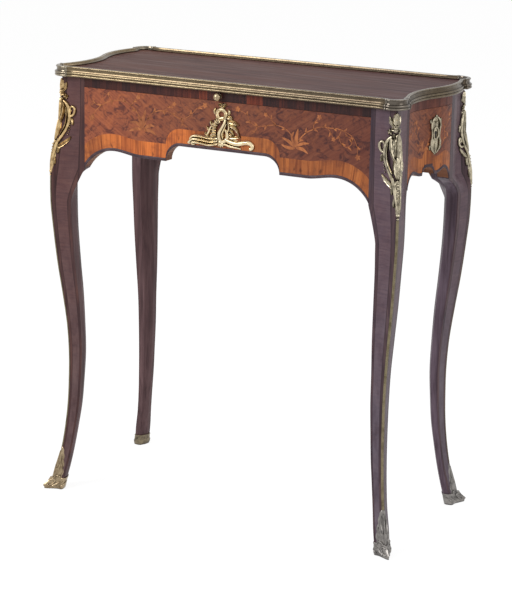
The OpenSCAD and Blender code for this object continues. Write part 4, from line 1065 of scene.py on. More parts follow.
def build_clasps():
    """Eight collars over the joints between the ears and the other lengths, over the top to the inside."""
    verts, faces, lines = [], [], []
    span, rings = math.degrees(COLLAR_LENGTH / EAR_R), 9
    plain = [rim_line(*p) for p in rim_profile()]
    joints = [(FRONT_EAR, A_EAR[0], 1), (FRONT_EAR, A_EAR[1], -1), (BACK_EAR, A_BACK[0], 1),
              (BACK_EAR, A_BACK[1], -1)]
    for xs in (1, -1):
        for c, angle, turn in joints:
            start = len(verts)
            for k in range(rings):
                t = k / (rings - 1)
                section = rim_profile(COLLAR_RISE + 0.9 * math.sin(math.pi * t) ** 0.5)
                a = math.radians(angle + turn * span * t)
                u = Vector((math.cos(a), math.sin(a)))
                p = c + EAR_R * u
                verts += [(xs * (p.x - x * u.x), p.y - x * u.y, RIM_Z + z) for x, z in section]
                # Painted shade: full depth in the crease where each collar meets the rim, and half the
                # rim's painted lines along it
                lines += [1.0 if t in (0, 1) else 0.5 * line for line in plain]
            faces += loft_faces(rings, len(section), start)
    make_piece("rim_collars", verts, faces, "table", "rim_ear_brass", ["rim_clasps"], 45.0,
               {"line": lines})


# Veneered panels ------------------------------------------------------

LOBE_Z, CROWN_Z, FLAT_Z = 591, 597, 618
EDGE_BEAD_H, BANDING_W, BAND_LEAN = 5, 28, 0.3
BANDING_LENGTH, BANDING_PROUD = 21, 0.02
# Section of the edge moulding, as (distance out of the wall, height)
EDGE_SECTION = [(-1.0, 0.0), (0.1, 0.0), (0.55, 0.35), (0.9, 1.2), (1.0, 2.4), (0.9, 3.6), (0.55, 4.6),
                (0.1, 5.0), (-1.0, 5.0)]


def ease(t):
    """Share that starts and ends slowly."""
    return t * t * (3 - 2 * t)


def edge_half(half, round_r, crown, rx, rz, end):
    """Lower edge of a panel, from its middle to the leg, as (place along it, height)."""
    dip = min(50, (crown - half) * 0.8)
    pts = [(half * k / 6 * 0.8, LOBE_Z + round_r) for k in range(6)]
    pts += round_points(half - round_r, LOBE_Z, round_r, range(90, -1, -6))
    pts += [(crown - dip * (1 - k / 12), LOBE_Z + (CROWN_Z - LOBE_Z) * ease(k / 12)) for k in range(13)]
    for i in range(1, 21):
        x = (end - crown) * math.sin(math.radians(i * 90 / 20))
        pts.append((crown + x, CROWN_Z - rz * (1 - math.sqrt(1 - (x / rx) ** 2))))
    return [p for i, p in enumerate(pts) if i == 0 or p[0] > pts[i - 1][0] + 1e-4]


LONG_EDGE = edge_half(103, FLAT_Z - LOBE_Z, PANEL_X - 57, 68, 72, PANEL_X)
END_EDGE = edge_half(14, 12, END_HALF - 22, 27, 52, END_HALF)


def edge_run(edge, up, half):
    """The whole lower edge, raised by some distance; the raised edge leans towards the legs."""
    last = edge[-1][0]
    lean = up * BAND_LEAN
    side = [(min(x + lean * (x / last) ** 6, half), z + up) for x, z in edge]
    return [(-x, z) for x, z in side[:0:-1]] + side


def front_place(s, z, out):
    """Surface of the front wall: place along it, height and distance out of it."""
    return Vector((s, -WALL_Y - out, z))


def back_place(s, z, out):
    """Surface of the back wall."""
    return Vector((-s, WALL_Y + out, z))


def right_place(s, z, out):
    """Surface of the right end, with the place along it measured towards the back."""
    slope = end_x(s + 0.5) - end_x(s - 0.5)
    n = Vector((1, -slope)).normalized()
    return Vector((end_x(s) + out * n.x, s + out * n.y, z))


def left_place(s, z, out):
    """Surface of the left end, with the place along it measured towards the front."""
    p = right_place(-s, z, out)
    return Vector((-p.x, p.y, z))


def left_same(s, z, out):
    """Surface of the left end, with the place along it measured towards the back."""
    return left_place(-s, z, out)


def slab(place, low, high, near=0.0):
    """Slab of veneer between two runs of points on a surface, with its length and height as values."""
    verts, along, across, length = [], [], [], 0.0
    for i, ((s0, z0), (s1, z1)) in enumerate(zip(low, high)):
        if i:
            length += math.hypot(s0 - low[i - 1][0], z0 - low[i - 1][1])
        verts += [place(s0, z0, near), place(s1, z1, near), place(s1, z1, -VENEER_T),
                  place(s0, z0, -VENEER_T)]
        along += [length * MM] * 4
        width = math.hypot(s1 - s0, z1 - z0) * MM
        across += [0.0, width, width, 0.0]
    return verts, loft_faces(len(low), 4), {"along": along, "across": across}


def build_panel(side, place, edge, half, top, body, ground):
    """Ground, crossbanding and dark edge bead of one side."""
    nodes = side + "_"
    foot, low, mid = (edge_run(edge, up, half) for up in (0, EDGE_BEAD_H, BANDING_W))
    verts, faces, _ = slab(place, mid, [(s, top) for s, _ in mid])
    make_piece(nodes + "ground", verts, faces, body, ground, [nodes + "marquetry"], 30.0)
    verts, faces, values = slab(place, low, mid, BANDING_PROUD)
    make_piece(nodes + "crossbanding", verts, faces, body, "banding", [nodes + "banding"], 30.0,
               values)
    # The bead is a rounded moulding that also covers the lower edge of the veneer
    verts = [place(s0 + (s1 - s0) * up / EDGE_BEAD_H, z0 + (z1 - z0) * up / EDGE_BEAD_H, out)
             for (s0, z0), (s1, z1) in zip(foot, low) for out, up in EDGE_SECTION]
    make_piece(nodes + "edge_moulding", verts, loft_faces(len(foot), len(EDGE_SECTION)), body, "edge_wood",
               [nodes + "edge_bead"], 45.0)


# Marquetry ------------------------------------------------------------

def leaf_width(width):
    """Width of an inlaid leaf along its run."""
    return lambda t: width * math.sin(math.pi * min(1.0, 0.04 + 0.96 * t) ** 0.8) ** 0.85 + 0.1


# Sprays of a long side and of an end: stems as (points, width at both ends), large leaves as (points,
# width), flowers as (place, height, size), and the number that starts the random draws
LEFT_SPRAY = (
    [  # stems
        ([(-146, 640), (-150, 655), (-160, 668), (-176, 679), (-196, 681), (-214, 676),
          (-232, 664), (-243, 650)], 2.0, 0.8),
        ([(-168, 674), (-163, 683), (-156, 688)], 1.1, 0.6),
        ([(-143, 645), (-136, 658), (-126, 668), (-112, 672), (-96, 671), (-82, 664), (-68, 664),
          (-54, 674), (-44, 684), (-33, 687)], 1.9, 0.8),
        ([(-105, 672), (-98, 680), (-90, 684)], 1.0, 0.6),
        ([(-75, 663), (-72, 655), (-64, 650)], 1.0, 0.6),
        ([(-206, 679), (-212, 688), (-220, 690)], 1.0, 0.6),
        ([(-226, 668), (-238, 672), (-246, 668)], 1.0, 0.6),
    ], [  # leaves
        ([(-146, 640), (-145, 655), (-141, 671)], 6.0),
        ([(-147, 640), (-158, 648), (-170, 648)], 5.5),
        ([(-147, 638), (-160, 638), (-172, 633)], 5.0),
        ([(-144, 639), (-133, 646), (-124, 645)], 5.0),
        ([(-144, 637), (-131, 637), (-121, 631)], 5.0),
        ([(-146, 640), (-152, 652), (-155, 661)], 4.0),
    ], [  # flowers
        (-243, 648, 5.5), (-155, 690, 4.5), (-32, 688, 5.0), (-88, 685, 4.0),
    ], 3)
RIGHT_SPRAY = (
    [  # stems
        ([(130, 638), (136, 650), (147, 662), (158, 668), (172, 674), (188, 674), (202, 674),
          (216, 670), (228, 663), (235, 650), (237, 636)], 2.0, 0.8),
        ([(208, 673), (205, 662), (208, 652), (218, 647), (226, 653), (224, 662),
          (215, 664)], 1.0, 0.7),
        ([(184, 674), (190, 667), (194, 659)], 1.0, 0.6),
        ([(160, 669), (162, 680), (170, 687)], 1.0, 0.6),
        ([(127, 642), (122, 656), (112, 665), (98, 669), (84, 668), (70, 665), (57, 665),
          (48, 672), (43, 681), (28, 687)], 1.9, 0.8),
        ([(92, 669), (86, 678), (78, 683)], 1.0, 0.6),
        ([(62, 664), (58, 655), (50, 650)], 1.0, 0.6),
    ], [  # leaves
        ([(130, 638), (131, 652), (134, 668)], 6.0), ([(129, 638), (118, 646), (106, 651)], 5.5),
        ([(129, 636), (116, 636), (105, 640)], 5.0), ([(131, 637), (142, 636), (152, 630)], 5.5),
        ([(131, 640), (143, 645), (154, 646)], 4.5), ([(129, 640), (124, 650), (122, 659)], 4.0),
    ], [  # flowers
        (237, 633, 5.0), (170, 689, 4.5), (27, 688, 5.0), (195, 657, 4.0), (77, 684, 4.0),
    ], 5)
END_SPRAY = (
    [  # stems
        ([(-14, 630), (-20, 643), (-30, 652), (-38, 662), (-46, 668), (-53, 661)], 1.8, 0.8),
        ([(-33, 656), (-30, 668), (-36, 677)], 1.0, 0.6),
        ([(-42, 666), (-44, 676), (-51, 681)], 1.0, 0.6),
        ([(-10, 632), (-4, 640), (-1, 650)], 1.3, 0.7),
        ([(-18, 640), (-28, 640), (-36, 634)], 1.1, 0.6),
        ([(30, 634), (37, 646), (38, 660), (46, 670), (51, 680)], 1.4, 0.7),
        ([(38, 656), (47, 652), (52, 644)], 1.0, 0.6),
    ], [  # leaves
        ([(-14, 630), (-22, 634), (-27, 628)], 4.5), ([(-13, 630), (-6, 634), (0, 630)], 4.5),
        ([(-14, 630), (-16, 640), (-13, 647)], 4.0), ([(30, 634), (24, 640), (24, 648)], 4.0),
    ], [  # flowers
        (-54, 659, 4.5), (-36, 679, 4.0), (52, 682, 4.0),
    ], 8)


def build_spray(name, place, body, layout):
    """Inlaid spray: tapering stems, leaves that grow from them, and open flowers."""
    stems, leaves, flowers, seed = layout
    rng = random.Random(seed)
    r = Relief(place)
    height, layer = 0.16, 0.012  # leaves that cross lie a little over one another
    for points, w0, w1 in stems:
        r.strip(points, [w0, w1], height, steps=6)
        run, ways = smooth_run(points, 6)
        for i in range(5, len(run) - 2, 7):
            side = 1 if (i // 7) % 2 else -1
            p, d = run[i], ways[i]
            n = Vector((-d.y, d.x)) * side
            tip = p + n * rng.uniform(4.5, 7.5) + d * rng.uniform(3.5, 6.5)
            bend = p.lerp(tip, 0.5) + d * rng.uniform(0.6, 1.8)
            r.strip([p, bend, tip], leaf_width(rng.uniform(2.2, 3.2)), height)
    for points, width in leaves:
        height += layer
        r.strip(points, leaf_width(width), height, steps=6)
    for u, v, size in flowers:
        turn = rng.uniform(0, 60)
        for k in range(PETALS):
            a = math.radians(turn + 360 * k / PETALS)
            d = Vector((math.cos(a), math.sin(a)))
            p = Vector((u, v))
            petal = [p + d * 0.4, p + d * size * 0.55, p + d * size]
            r.strip(petal, leaf_width(size * 0.62), height + layer * k)
    r.piece(name, body, "inlay", slot="marquetry", sharp=20)


# Mounts of the front and the drawer -----------------------------------

def build_front_mount():
    """Scrolling cast mount at the middle of the front."""
    foot_x, foot_z = -2.5, 623.1

    def place(u, v, out):
        return front_place(foot_x + u, foot_z + v, out)

    r = Relief(place)
    # Ground of the casting behind the scrolls
    r.leaf([(-8, 20), (-22, 12), (-36, 9)], 10, 1.0, lobes=2, steps=8)
    r.leaf([(8, 22), (22, 14), (36, 10)], 10, 1.0, lobes=2, steps=8)
    # Ring and a bow of leaves at the top, with short leaves beside them
    r.hoop(1.5, 54, 7.6, 7.0, 4.6)
    r.hoop(1.5, 54, 7.8, 2.4, 5.8)
    r.roll([(2, 60), (2.6, 66)], 5.0, 3.6, steps=3)
    for s, u in ((-1, 1.6), (1, 3.8)):
        r.leaf([(u, 65), (u + 3.6 * s, 69.5), (u + 6.4 * s, 67.5)], 5.6, 4.0, lobes=2, steps=5)
    r.leaf([(2.7, 64), (2.7, 68), (2.7, 72.6)], 5.4, 4.6, lobes=1, steps=4)
    for s, u in ((-1, -7.5), (1, 12)):
        r.leaf([(u, 52), (u + 3.5 * s, 58), (u + 1.5 * s, 64)], 5.5, 3.0, lobes=2, steps=5)
    # Thick belly with gadroons across its outer side, and the rolls inside it
    belly = [(10.3, 49.5), (1, 47), (-6.4, 42.6), (-12.4, 29.5), (-9.6, 15.6), (1.5, 8.8), (12.5, 17),
             (10.3, 28.3), (3.6, 31.5)]
    r.roll(belly, [6.0, 7.6, 8.0, 8.4, 8.0, 7.0, 5.4, 3.4],
           [4.2, 4.6, 3.4, 3.2, 3.4, 4.8, 4.4, 3.2], steps=6)
    steps, first, last, apart = 24, 34, 108, 8
    run, ways = smooth_run(belly, steps)
    for i in range(first, last, apart):
        p, d = run[i], ways[i]
        n = Vector((d.y, -d.x))
        if n.x > 0:
            n = -n
        r.roll([p + 5.0 * n, p + 1.6 * n, p - 5.4 * n], [2.4, 3.2, 2.6], [3.4, 5.8, 4.6], steps=3, sides=7)
    r.roll([(9, 47), (7.6, 40), (3.2, 32), (-1.4, 24), (-1.4, 15), (4, 9)], [4.4, 6.0, 7.2, 8.0, 7.4, 5.0],
           [4.4, 6.0, 6.2, 5.6, 5.0, 4.2])
    r.roll([(11.4, 40), (7.8, 31), (4.4, 23), (5.4, 15)], [2.2, 3.2, 3.4, 2.4], [4.8, 6.6, 6.4, 4.8])
    r.roll([(12.5, 44), (15.5, 37), (14.5, 29), (9.5, 22)], [2.4, 3.4, 3.4, 2.2], [3.4, 4.8, 4.8, 3.4])
    # Fronds to the right and curls to the left
    r.leaf([(11, 50), (18, 50), (21, 45)], 6.5, 4.2)
    r.leaf([(13, 44), (23, 43), (33.5, 39)], 8.0, 5.4, lobes=4, steps=7)
    r.leaf([(13, 38), (22, 37), (29, 31), (34.5, 20.4)], 8.0, 5.6, lobes=5)
    r.leaf([(14, 31), (20, 29), (25, 21.5)], 6.5, 4.4)
    r.leaf([(13, 24), (20, 22.5), (27, 19)], 5.0, 3.8, lobes=2, steps=5)
    r.roll([(-13, 38), (-18, 30), (-22.5, 21), (-27, 14)], [3.2, 4.4, 4.4, 3.0], [3.4, 4.2, 4.0, 2.6])
    for u, v, turn in ((-16.5, 38, 100), (-21.5, 28.5, 120), (-25, 19.5, 140)):
        a = math.radians(turn)
        r.leaf([(u + 4, v - 4), (u, v), (u + 5.4 * math.cos(a), v + 5.4 * math.sin(a))], 6.4, 4.4, lobes=2,
               steps=5)
    # Fluted arm to the left
    for k, (tip, rise) in enumerate((((-55, 8.4), 15.6), ((-58, 3.2), 10.0), ((-50.5, 1.6), 4.6))):
        foot = (-4, 15 - 4.4 * k)
        r.roll([foot, (-20, rise - 1.4), (-36, rise), (-50, rise - 1.2 + 0.6 * k), tip,
                (tip[0] + 4.4, tip[1] - 0.4)],
               [4.6, 5.4, 5.4, 5.0, 4.2, 2.8], [5.4, 5.2, 5.2, 4.8, 4.0, 2.6])
        r.roll([foot, (-20, rise - 0.6), (-36, rise + 0.8), (-49, rise - 0.4 + 0.6 * k)],
               [1.4, 1.8, 1.8, 1.2], [5.4, 6.2, 6.2, 4.6])
    r.dome(-52.6, 7.6, 2.3, 4.0, sides=10, levels=4)
    # Thick scroll to the right with a knob at its end, and the strand below it
    r.roll([(10, 14.5), (20, 11), (30, 9.9), (45.5, 13), (54, 12), (57.6, 7.4), (56, 3.6)],
           [8.2, 8.8, 9.0, 8.6, 7.4, 5.4], [5.0, 5.4, 5.4, 5.0, 4.4, 3.6], steps=7)
    r.roll([(14, 15.5), (30, 12.6), (45, 15.4), (54, 13.6)], [2.0, 2.6, 2.4, 1.6], [4.8, 6.2, 5.8, 4.2],
           steps=7)
    r.dome(54.6, 4.0, 3.6, 4.8)
    r.leaf([(13, 19), (24, 19.5), (36, 20.5)], 6.5, 3.6, lobes=4, steps=7)
    r.roll([(8, 7), (17, 4.4), (28, 3.4), (37, 1.8)], [4.6, 4.8, 3.8, 2.4], [4.0, 4.0, 3.2, 2.0], steps=6)
    # Shell at the foot
    for k in range(5):
        a = math.radians(-150 + 30 * k)
        r.leaf([(1 + 2 * math.cos(a), 9 + 2 * math.sin(a)), (1 + 6 * math.cos(a), 9 + 5.2 * math.sin(a)),
                (1 + 9 * math.cos(a), 9 + 8.2 * math.sin(a))], 4.6, 4.2, lobes=1, ribs=0, steps=5)
    r.dome(1, 10, 3.2, 5.4)
    r.piece("gilt_front_mount", "table", "gilt", ["front_mount"], "gilt_mount")


def build_escutcheon():
    """Long cartouche of scrolls round the keyhole, with the key's dark opening at its middle."""
    middle_y, middle_z = 13, 653

    def place(u, v, out):
        return right_place(middle_y + u, middle_z + v, out)

    r = Relief(place)
    r.leaf([(0, 31), (0, 0), (0, -31)], 17, 1.4, lobes=1, ribs=0, steps=14,
           outline=[0.25, 0.8, 1.0, 0.95, 0.85, 0.95, 1.0, 0.7, 0.2])
    r.hoop(0, 3, 5.6, 2.6, 3.4, stretch=1.7)
    for m in (-1, 1):
        r.roll([(1.5 * m, 29), (7 * m, 25), (9.8 * m, 16), (8.6 * m, 6), (8.2 * m, -3), (10.4 * m, -12),
                (8 * m, -22), (1.5 * m, -29)],
               [2.4, 3.2, 3.8, 3.0, 3.0, 3.8, 3.2, 2.2], [2.4, 3.4, 3.8, 3.2, 3.2, 3.8, 3.2, 2.2])
        r.leaf([(8 * m, 18), (11.5 * m, 22), (11 * m, 27)], 4.6, 2.6, lobes=2, steps=5)
        r.leaf([(9 * m, -14), (12.5 * m, -19), (11 * m, -24)], 4.6, 2.6, lobes=2, steps=5)
    r.flower(0, 21, 4.6, 3.8)
    r.leaf([(0, -11), (0, -20), (0, -31)], 8, 3.6, steps=7)
    r.dome(0, 30.5, 2.2, 3.0, sides=10, levels=6)
    # Painted shade: the escutcheon on the right end takes the darker copy of the gilt
    r.piece("gilt_escutcheon", "drawer", "gilt_worn", ["escutcheon"], "gilt_mount")
    # The opening is a dark plug that stands just over the plate
    hole = Relief(place)
    outline = round_points(0, 4, 2.5, range(-50, 231, 20)) + [(-1.2, -4), (1.2, -4)]
    hole.rings([[(u, v, out) for u, v in outline] for out in (-0.2, 1.75)])
    hole.piece("keyhole", "drawer", "shadow", slot="lock_brass", sharp=30)


def build_knob():
    """Turned knob of the writing slide with a collar and a stem."""
    knob_x, knob_z, sides = -6, BAND_Z + 8, 32
    section = [(0.02, 0), (4.3, 0), (4.5, 0.5), (4.3, 1.0), (3.2, 1.3), (2.5, 2.0), (2.3, 2.8), (2.6, 3.6),
               (4.2, 4.3), (5.6, 5.5), (6.4, 7.2), (6.5, 8.6), (6.1, 10.2), (5.0, 11.7), (3.4, 12.7),
               (2.6, 12.9), (2.2, 12.7), (1.2, 13.2), (0.02, 13.3)]
    r = Relief(lambda u, v, out: front_place(knob_x + u, knob_z + v, out))
    r.rings([[(radius * math.cos(t), radius * math.sin(t), out)
              for t in (2 * math.pi * j / sides for j in range(sides))] for radius, out in section])
    r.piece("turned_knob", "slide", "sabot_gilt", ["slide_knob"], "gilt_mount", sharp=35)


def build_slide_face():
    """Front of the writing slide, faced with short blocks of veneer."""
    blocks, gap, height, thick = 36, 0.5, 15, 10
    verts, faces, along, across = [], [], [], []
    width = 2 * (PANEL_X - gap)
    low, near = BAND_Z + gap, -WALL_Y
    for k in range(blocks):
        left = -PANEL_X + gap + width * k / blocks
        faces += loft_faces(2, 4, len(verts))
        for x in (left, left + width / blocks):
            verts += [(x, near, low), (x, near, low + height), (x, near + thick, low + height),
                      (x, near + thick, low)]
            along += [(k + 0.5) * width / blocks * MM] * 4
            across += [0, height * MM, height * MM, 0]
    make_piece("slide_facing", verts, faces, "slide", "slide_blocks", ["slide_front"], 20.0,
               {"along": along, "across": across})


# Add-on ---------------------------------------------------------------

class TableStage(bpy.types.PropertyGroup):
    """Camera, light and floor."""
    azimuth: FloatProperty(
        name="Azimuth", description="Turn of the camera round the table, in degrees", default=27.63)
    elevation: FloatProperty(
        name="Elevation", description="Height of the camera over the horizon, in degrees", default=14.88)
    distance: FloatProperty(
        name="Distance", description="Distance of the camera", default=3.508, unit="LENGTH")
    aim_x: FloatProperty(
        name="Aim X", description="Place that the camera looks at", default=-0.0026, unit="LENGTH")
    aim_z: FloatProperty(
        name="Aim Z", description="Height that the camera looks at", default=0.3408, unit="LENGTH")
    roll: FloatProperty(name="Roll", description="Lean of the camera, in degrees", default=1.11)
    lens: FloatProperty(
        name="Lens", description="Focal length on a 36 mm wide picture", default=147.516, unit="CAMERA")
    key_power: FloatProperty(
        name="Key light", description="Power of the light from the front left", default=62.0, unit="POWER")
    fill_power: FloatProperty(
        name="Fill light", description="Power of each light from the right and above", default=16.0,
        unit="POWER")
    sky: FloatProperty(name="Sky", description="Strength of the even light from all round", default=0.55)
    floor_tone: FloatProperty(
        name="Floor tone", description="Colour of the floor in the light", default=0.22)
    floor_glow: FloatProperty(
        name="Floor glow", description="Share of the floor's white that needs no light", default=0.86)


class TableColours(bpy.types.PropertyGroup):
    """Main colours of the woods and the metal."""
    ground: FloatVectorProperty(
        name="Ground", description="Tulipwood ground of the panels", subtype="COLOR",
        default=tone(126, 74, 55)[:3])
    ground_dark: FloatVectorProperty(
        name="Ground, dark", description="Dark figure of the ground", subtype="COLOR",
        default=tone(100, 56, 45)[:3])
    ground_light: FloatVectorProperty(
        name="Ground, light", description="Light figure of the ground", subtype="COLOR",
        default=tone(146, 90, 64)[:3])
    banding: FloatVectorProperty(
        name="Crossbanding", description="Orange crossbanding", subtype="COLOR",
        default=tone(180, 105, 56)[:3])
    inlay: FloatVectorProperty(
        name="Inlay", description="Pale wood of the sprays", subtype="COLOR",
        default=tone(182, 112, 68)[:3])
    shade: FloatVectorProperty(
        name="Shade", description="What the ground is multiplied by at its darker end", subtype="COLOR",
        default=(0.62, 0.58, 0.7))
    top: FloatVectorProperty(
        name="Top", description="Veneer of the top", subtype="COLOR",
        default=tone(80, 54, 50)[:3])
    gilt: FloatVectorProperty(
        name="Gilt", description="Bright gilding", subtype="COLOR",
        default=tone(234, 217, 180)[:3])
    gilt_dull: FloatVectorProperty(
        name="Gilt, dull", description="Worn gilding", subtype="COLOR",
        default=tone(190, 166, 126)[:3])
    rim: FloatVectorProperty(
        name="Rim", description="Brass of the rim", subtype="COLOR",
        default=tone(136, 121, 95)[:3])


# Woods as (name, dark, middle and light tone, stretch of the grain, roughness, coat)
WOODS = [
    ("edge_wood", (48, 36, 42), (74, 58, 64), (98, 80, 84), (40, 40, 90)),
    ("oak", (112, 80, 52), (150, 112, 74), (178, 140, 98), (12, 150, 150), (0.55, 0.7), 0.0),
    ("drawer_wood", (140, 104, 68), (176, 138, 94), (200, 166, 120), (12, 150, 150), (0.5, 0.65), 0.05),
    ("apron_wood", (92, 56, 40), (122, 78, 54), (148, 100, 70), (10, 10, 140), (0.5, 0.62), 0.05),
    ("slide_wood", (84, 44, 34), (112, 62, 46), (140, 84, 60), (10, 130, 130)),
    ("rail_veneer", (66, 36, 32), (96, 54, 46), (124, 74, 58), (120, 120, 12)),
]
# Metals as (name, bright, dull and recess tone, roughness, reach of recesses, tarnish, unevenness, lined)
METALS = [
    # The first two are darker, greyer copies of the gilt: painted shade for the castings on the right
    ("gilt_worn", (190, 180, 156), (104, 97, 82), (24, 20, 17), (0.16, 0.34)),
    ("sabot_bronze", (140, 136, 132), (102, 99, 97), (56, 54, 54), (0.26, 0.44), 0.003),
    ("gilt_brown", (206, 178, 130), (134, 104, 68), (46, 30, 18), (0.2, 0.38)),
    ("sabot_gilt", (164, 146, 118), (116, 100, 78), (60, 46, 36), (0.22, 0.4), 0.003),
    ("gilt_dark", (132, 120, 98), (84, 76, 66), (40, 35, 32), (0.22, 0.4), 0.003),
    ("rim_ear_brass", (146, 136, 118), (104, 94, 80), (38, 31, 25), (0.12, 0.26), 0.003, 0.3, 6e-5, True),
    ("fillet_brass", (128, 118, 94), (92, 83, 64), (44, 36, 28), (0.25, 0.4), 0.002, 0.4, 6e-5),
    ("lock_brass", (200, 170, 96), (160, 132, 70), (90, 70, 34), (0.3, 0.45)),
    ("steel", (170, 170, 172), (120, 118, 116), (60, 54, 50), (0.3, 0.5)),
]


class TABLE_OT_finishes(bpy.types.Operator):
    """Makes every wood, metal and leather finish"""
    bl_idname = "table.finishes"
    bl_label = "Finishes"

    def execute(self, context):
        make_ground("ground_long", False)
        make_ground("ground_end", True)
        for make in (make_banding, make_leg_wood, make_slide_blocks, make_inlay, make_leather, make_shadow,
                     make_top):
            make()
        for wood in WOODS:
            make_wood(*wood)
        for name, bright, dull, *rest in METALS:
            make_brass(name, tone(*bright), tone(*dull), *rest)
        make_brass("gilt", chosen("gilt"), chosen("gilt_dull"), (84, 60, 38), (0.16, 0.34), 0.003)
        make_brass("rim_brass", chosen("rim"), tone(112, 98, 76), (60, 46, 36), (0.22, 0.36), 0.003, 0.3,
                   6e-5, True)
        return {"FINISHED"}


class TABLE_OT_rim(bpy.types.Operator):
    """Makes the moulded rim, its ears and the collars over their joints"""
    bl_idname = "table.rim"
    bl_label = "Rim"

    def execute(self, context):
        for name, runs in rim_lengths().items():
            build_rim(name, runs)
        build_clasps()
        return {"FINISHED"}


class TABLE_OT_panels(bpy.types.Operator):
    """Makes the ground, the crossbanding and the edge moulding of the four sides"""
    bl_idname = "table.panels"
    bl_label = "Veneered panels"

    def execute(self, context):
        build_panel("front", front_place, LONG_EDGE, PANEL_X, BAND_Z, "table", "ground_long")
        build_panel("back", back_place, LONG_EDGE, PANEL_X, RIM_Z, "table", "ground_long")
        build_panel("left", left_place, END_EDGE, END_HALF, RIM_Z, "table", "ground_end")
        build_panel("drawer", right_place, END_EDGE, DRAWER_HALF, DRAWER_TOP, "drawer", "ground_end")
        return {"FINISHED"}


class TABLE_OT_marquetry(bpy.types.Operator):
    """Lets the sprays of flowers into the panels"""
    bl_idname = "table.marquetry"
    bl_label = "Marquetry"

    def execute(self, context):
        for side, place in (("front", front_place), ("back", back_place)):
            build_spray(side + "_spray_left", place, "table", LEFT_SPRAY)
            build_spray(side + "_spray_right", place, "table", RIGHT_SPRAY)
        build_spray("drawer_spray", right_place, "drawer", END_SPRAY)
        build_spray("left_spray", left_same, "table", END_SPRAY)
        return {"FINISHED"}


class TABLE_OT_legs(bpy.types.Operator):
    """Makes the four cabriole legs with their brass fillets"""
    bl_idname = "table.legs"
    bl_label = "Legs"

    def execute(self, context):
        for name in ("leg_front_left", "leg_front_right", "leg_back_left", "leg_back_right"):
            build_leg(name)
        fillets = Relief(None)
        for xs in (-1, 1):
            for ys in (-1, 1):
                fillets.take(build_fillet(xs, ys))
        fillets.piece("brass_fillets", "table", "fillet_brass", ["leg_fillets"], "fillet_brass")
        return {"FINISHED"}


class TABLE_OT_corner_mounts(bpy.types.Operator):
    """Makes the gilt castings of the legs: the corner mounts and the sabots"""
    bl_idname = "table.corner_mounts"
    bl_label = "Leg mounts"

    def execute(self, context):
        # Painted shade: the castings of the right-hand legs take the darker, greyer copies of the gilt
        for corner, mount, shoe in (
                ("front_left", "gilt_brown", "sabot_gilt"), ("front_right", "gilt_worn", "sabot_bronze"),
                ("back_left", "gilt", "gilt_dark"), ("back_right", "gilt_worn", "sabot_bronze")):
            build_corner_mount("corner_mount_" + corner, mount)
            build_sabot("sabot_" + corner, shoe)
        return {"FINISHED"}


class TABLE_OT_front_mount(bpy.types.Operator):
    """Makes the gilt mount at the middle of the front"""
    bl_idname = "table.front_mount"
    bl_label = "Front mount"

    def execute(self, context):
        build_front_mount()
        return {"FINISHED"}


class TABLE_OT_drawer_fittings(bpy.types.Operator):
    """Makes the escutcheon and the keyhole of the drawer"""
    bl_idname = "table.drawer_fittings"
    bl_label = "Drawer fittings"

    def execute(self, context):
        build_escutcheon()
        return {"FINISHED"}


class TABLE_OT_writing_slide(bpy.types.Operator):
    """Makes the facing and the knob of the writing slide"""
    bl_idname = "table.writing_slide"
    bl_label = "Writing slide"

    def execute(self, context):
        build_slide_face()
        build_knob()
        return {"FINISHED"}


# Nodes that are shown as they are, under the finish that each gets
CARRIED = {
    "apron_wood": ("top_board", "front_apron", "back_apron", "left_apron", "drawer_front"),
    "oak": ("dust_panel", "slide_stops", "drawer_guides", "drawer_runners", "drawer_bearer", "drawer_stop",
            "glue_blocks"),
    "drawer_wood": ("drawer_sides", "drawer_back", "drawer_bottom"),
    "lock_brass": ("mount_pins", "drawer_pins", "lock_case"),
    "steel": ("top_screws", "lock_bolt"),
    "top_veneer": ("top_veneer",), "rail_veneer": ("right_top_rail",), "slide_wood": ("slide_board",),
    "leather": ("slide_leather",),
}


class TABLE_OT_carried_parts(bpy.types.Operator):
    """Gives the CAD pieces that are shown as they are their finishes"""
    bl_idname = "table.carried_parts"
    bl_label = "Inner boards and metalwork"

    def execute(self, context):
        for finish, names in CARRIED.items():
            for name in names:
                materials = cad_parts[name].data.materials
                materials.clear()
                materials.append(bpy.data.materials[LOOK + finish])
        return {"FINISHED"}


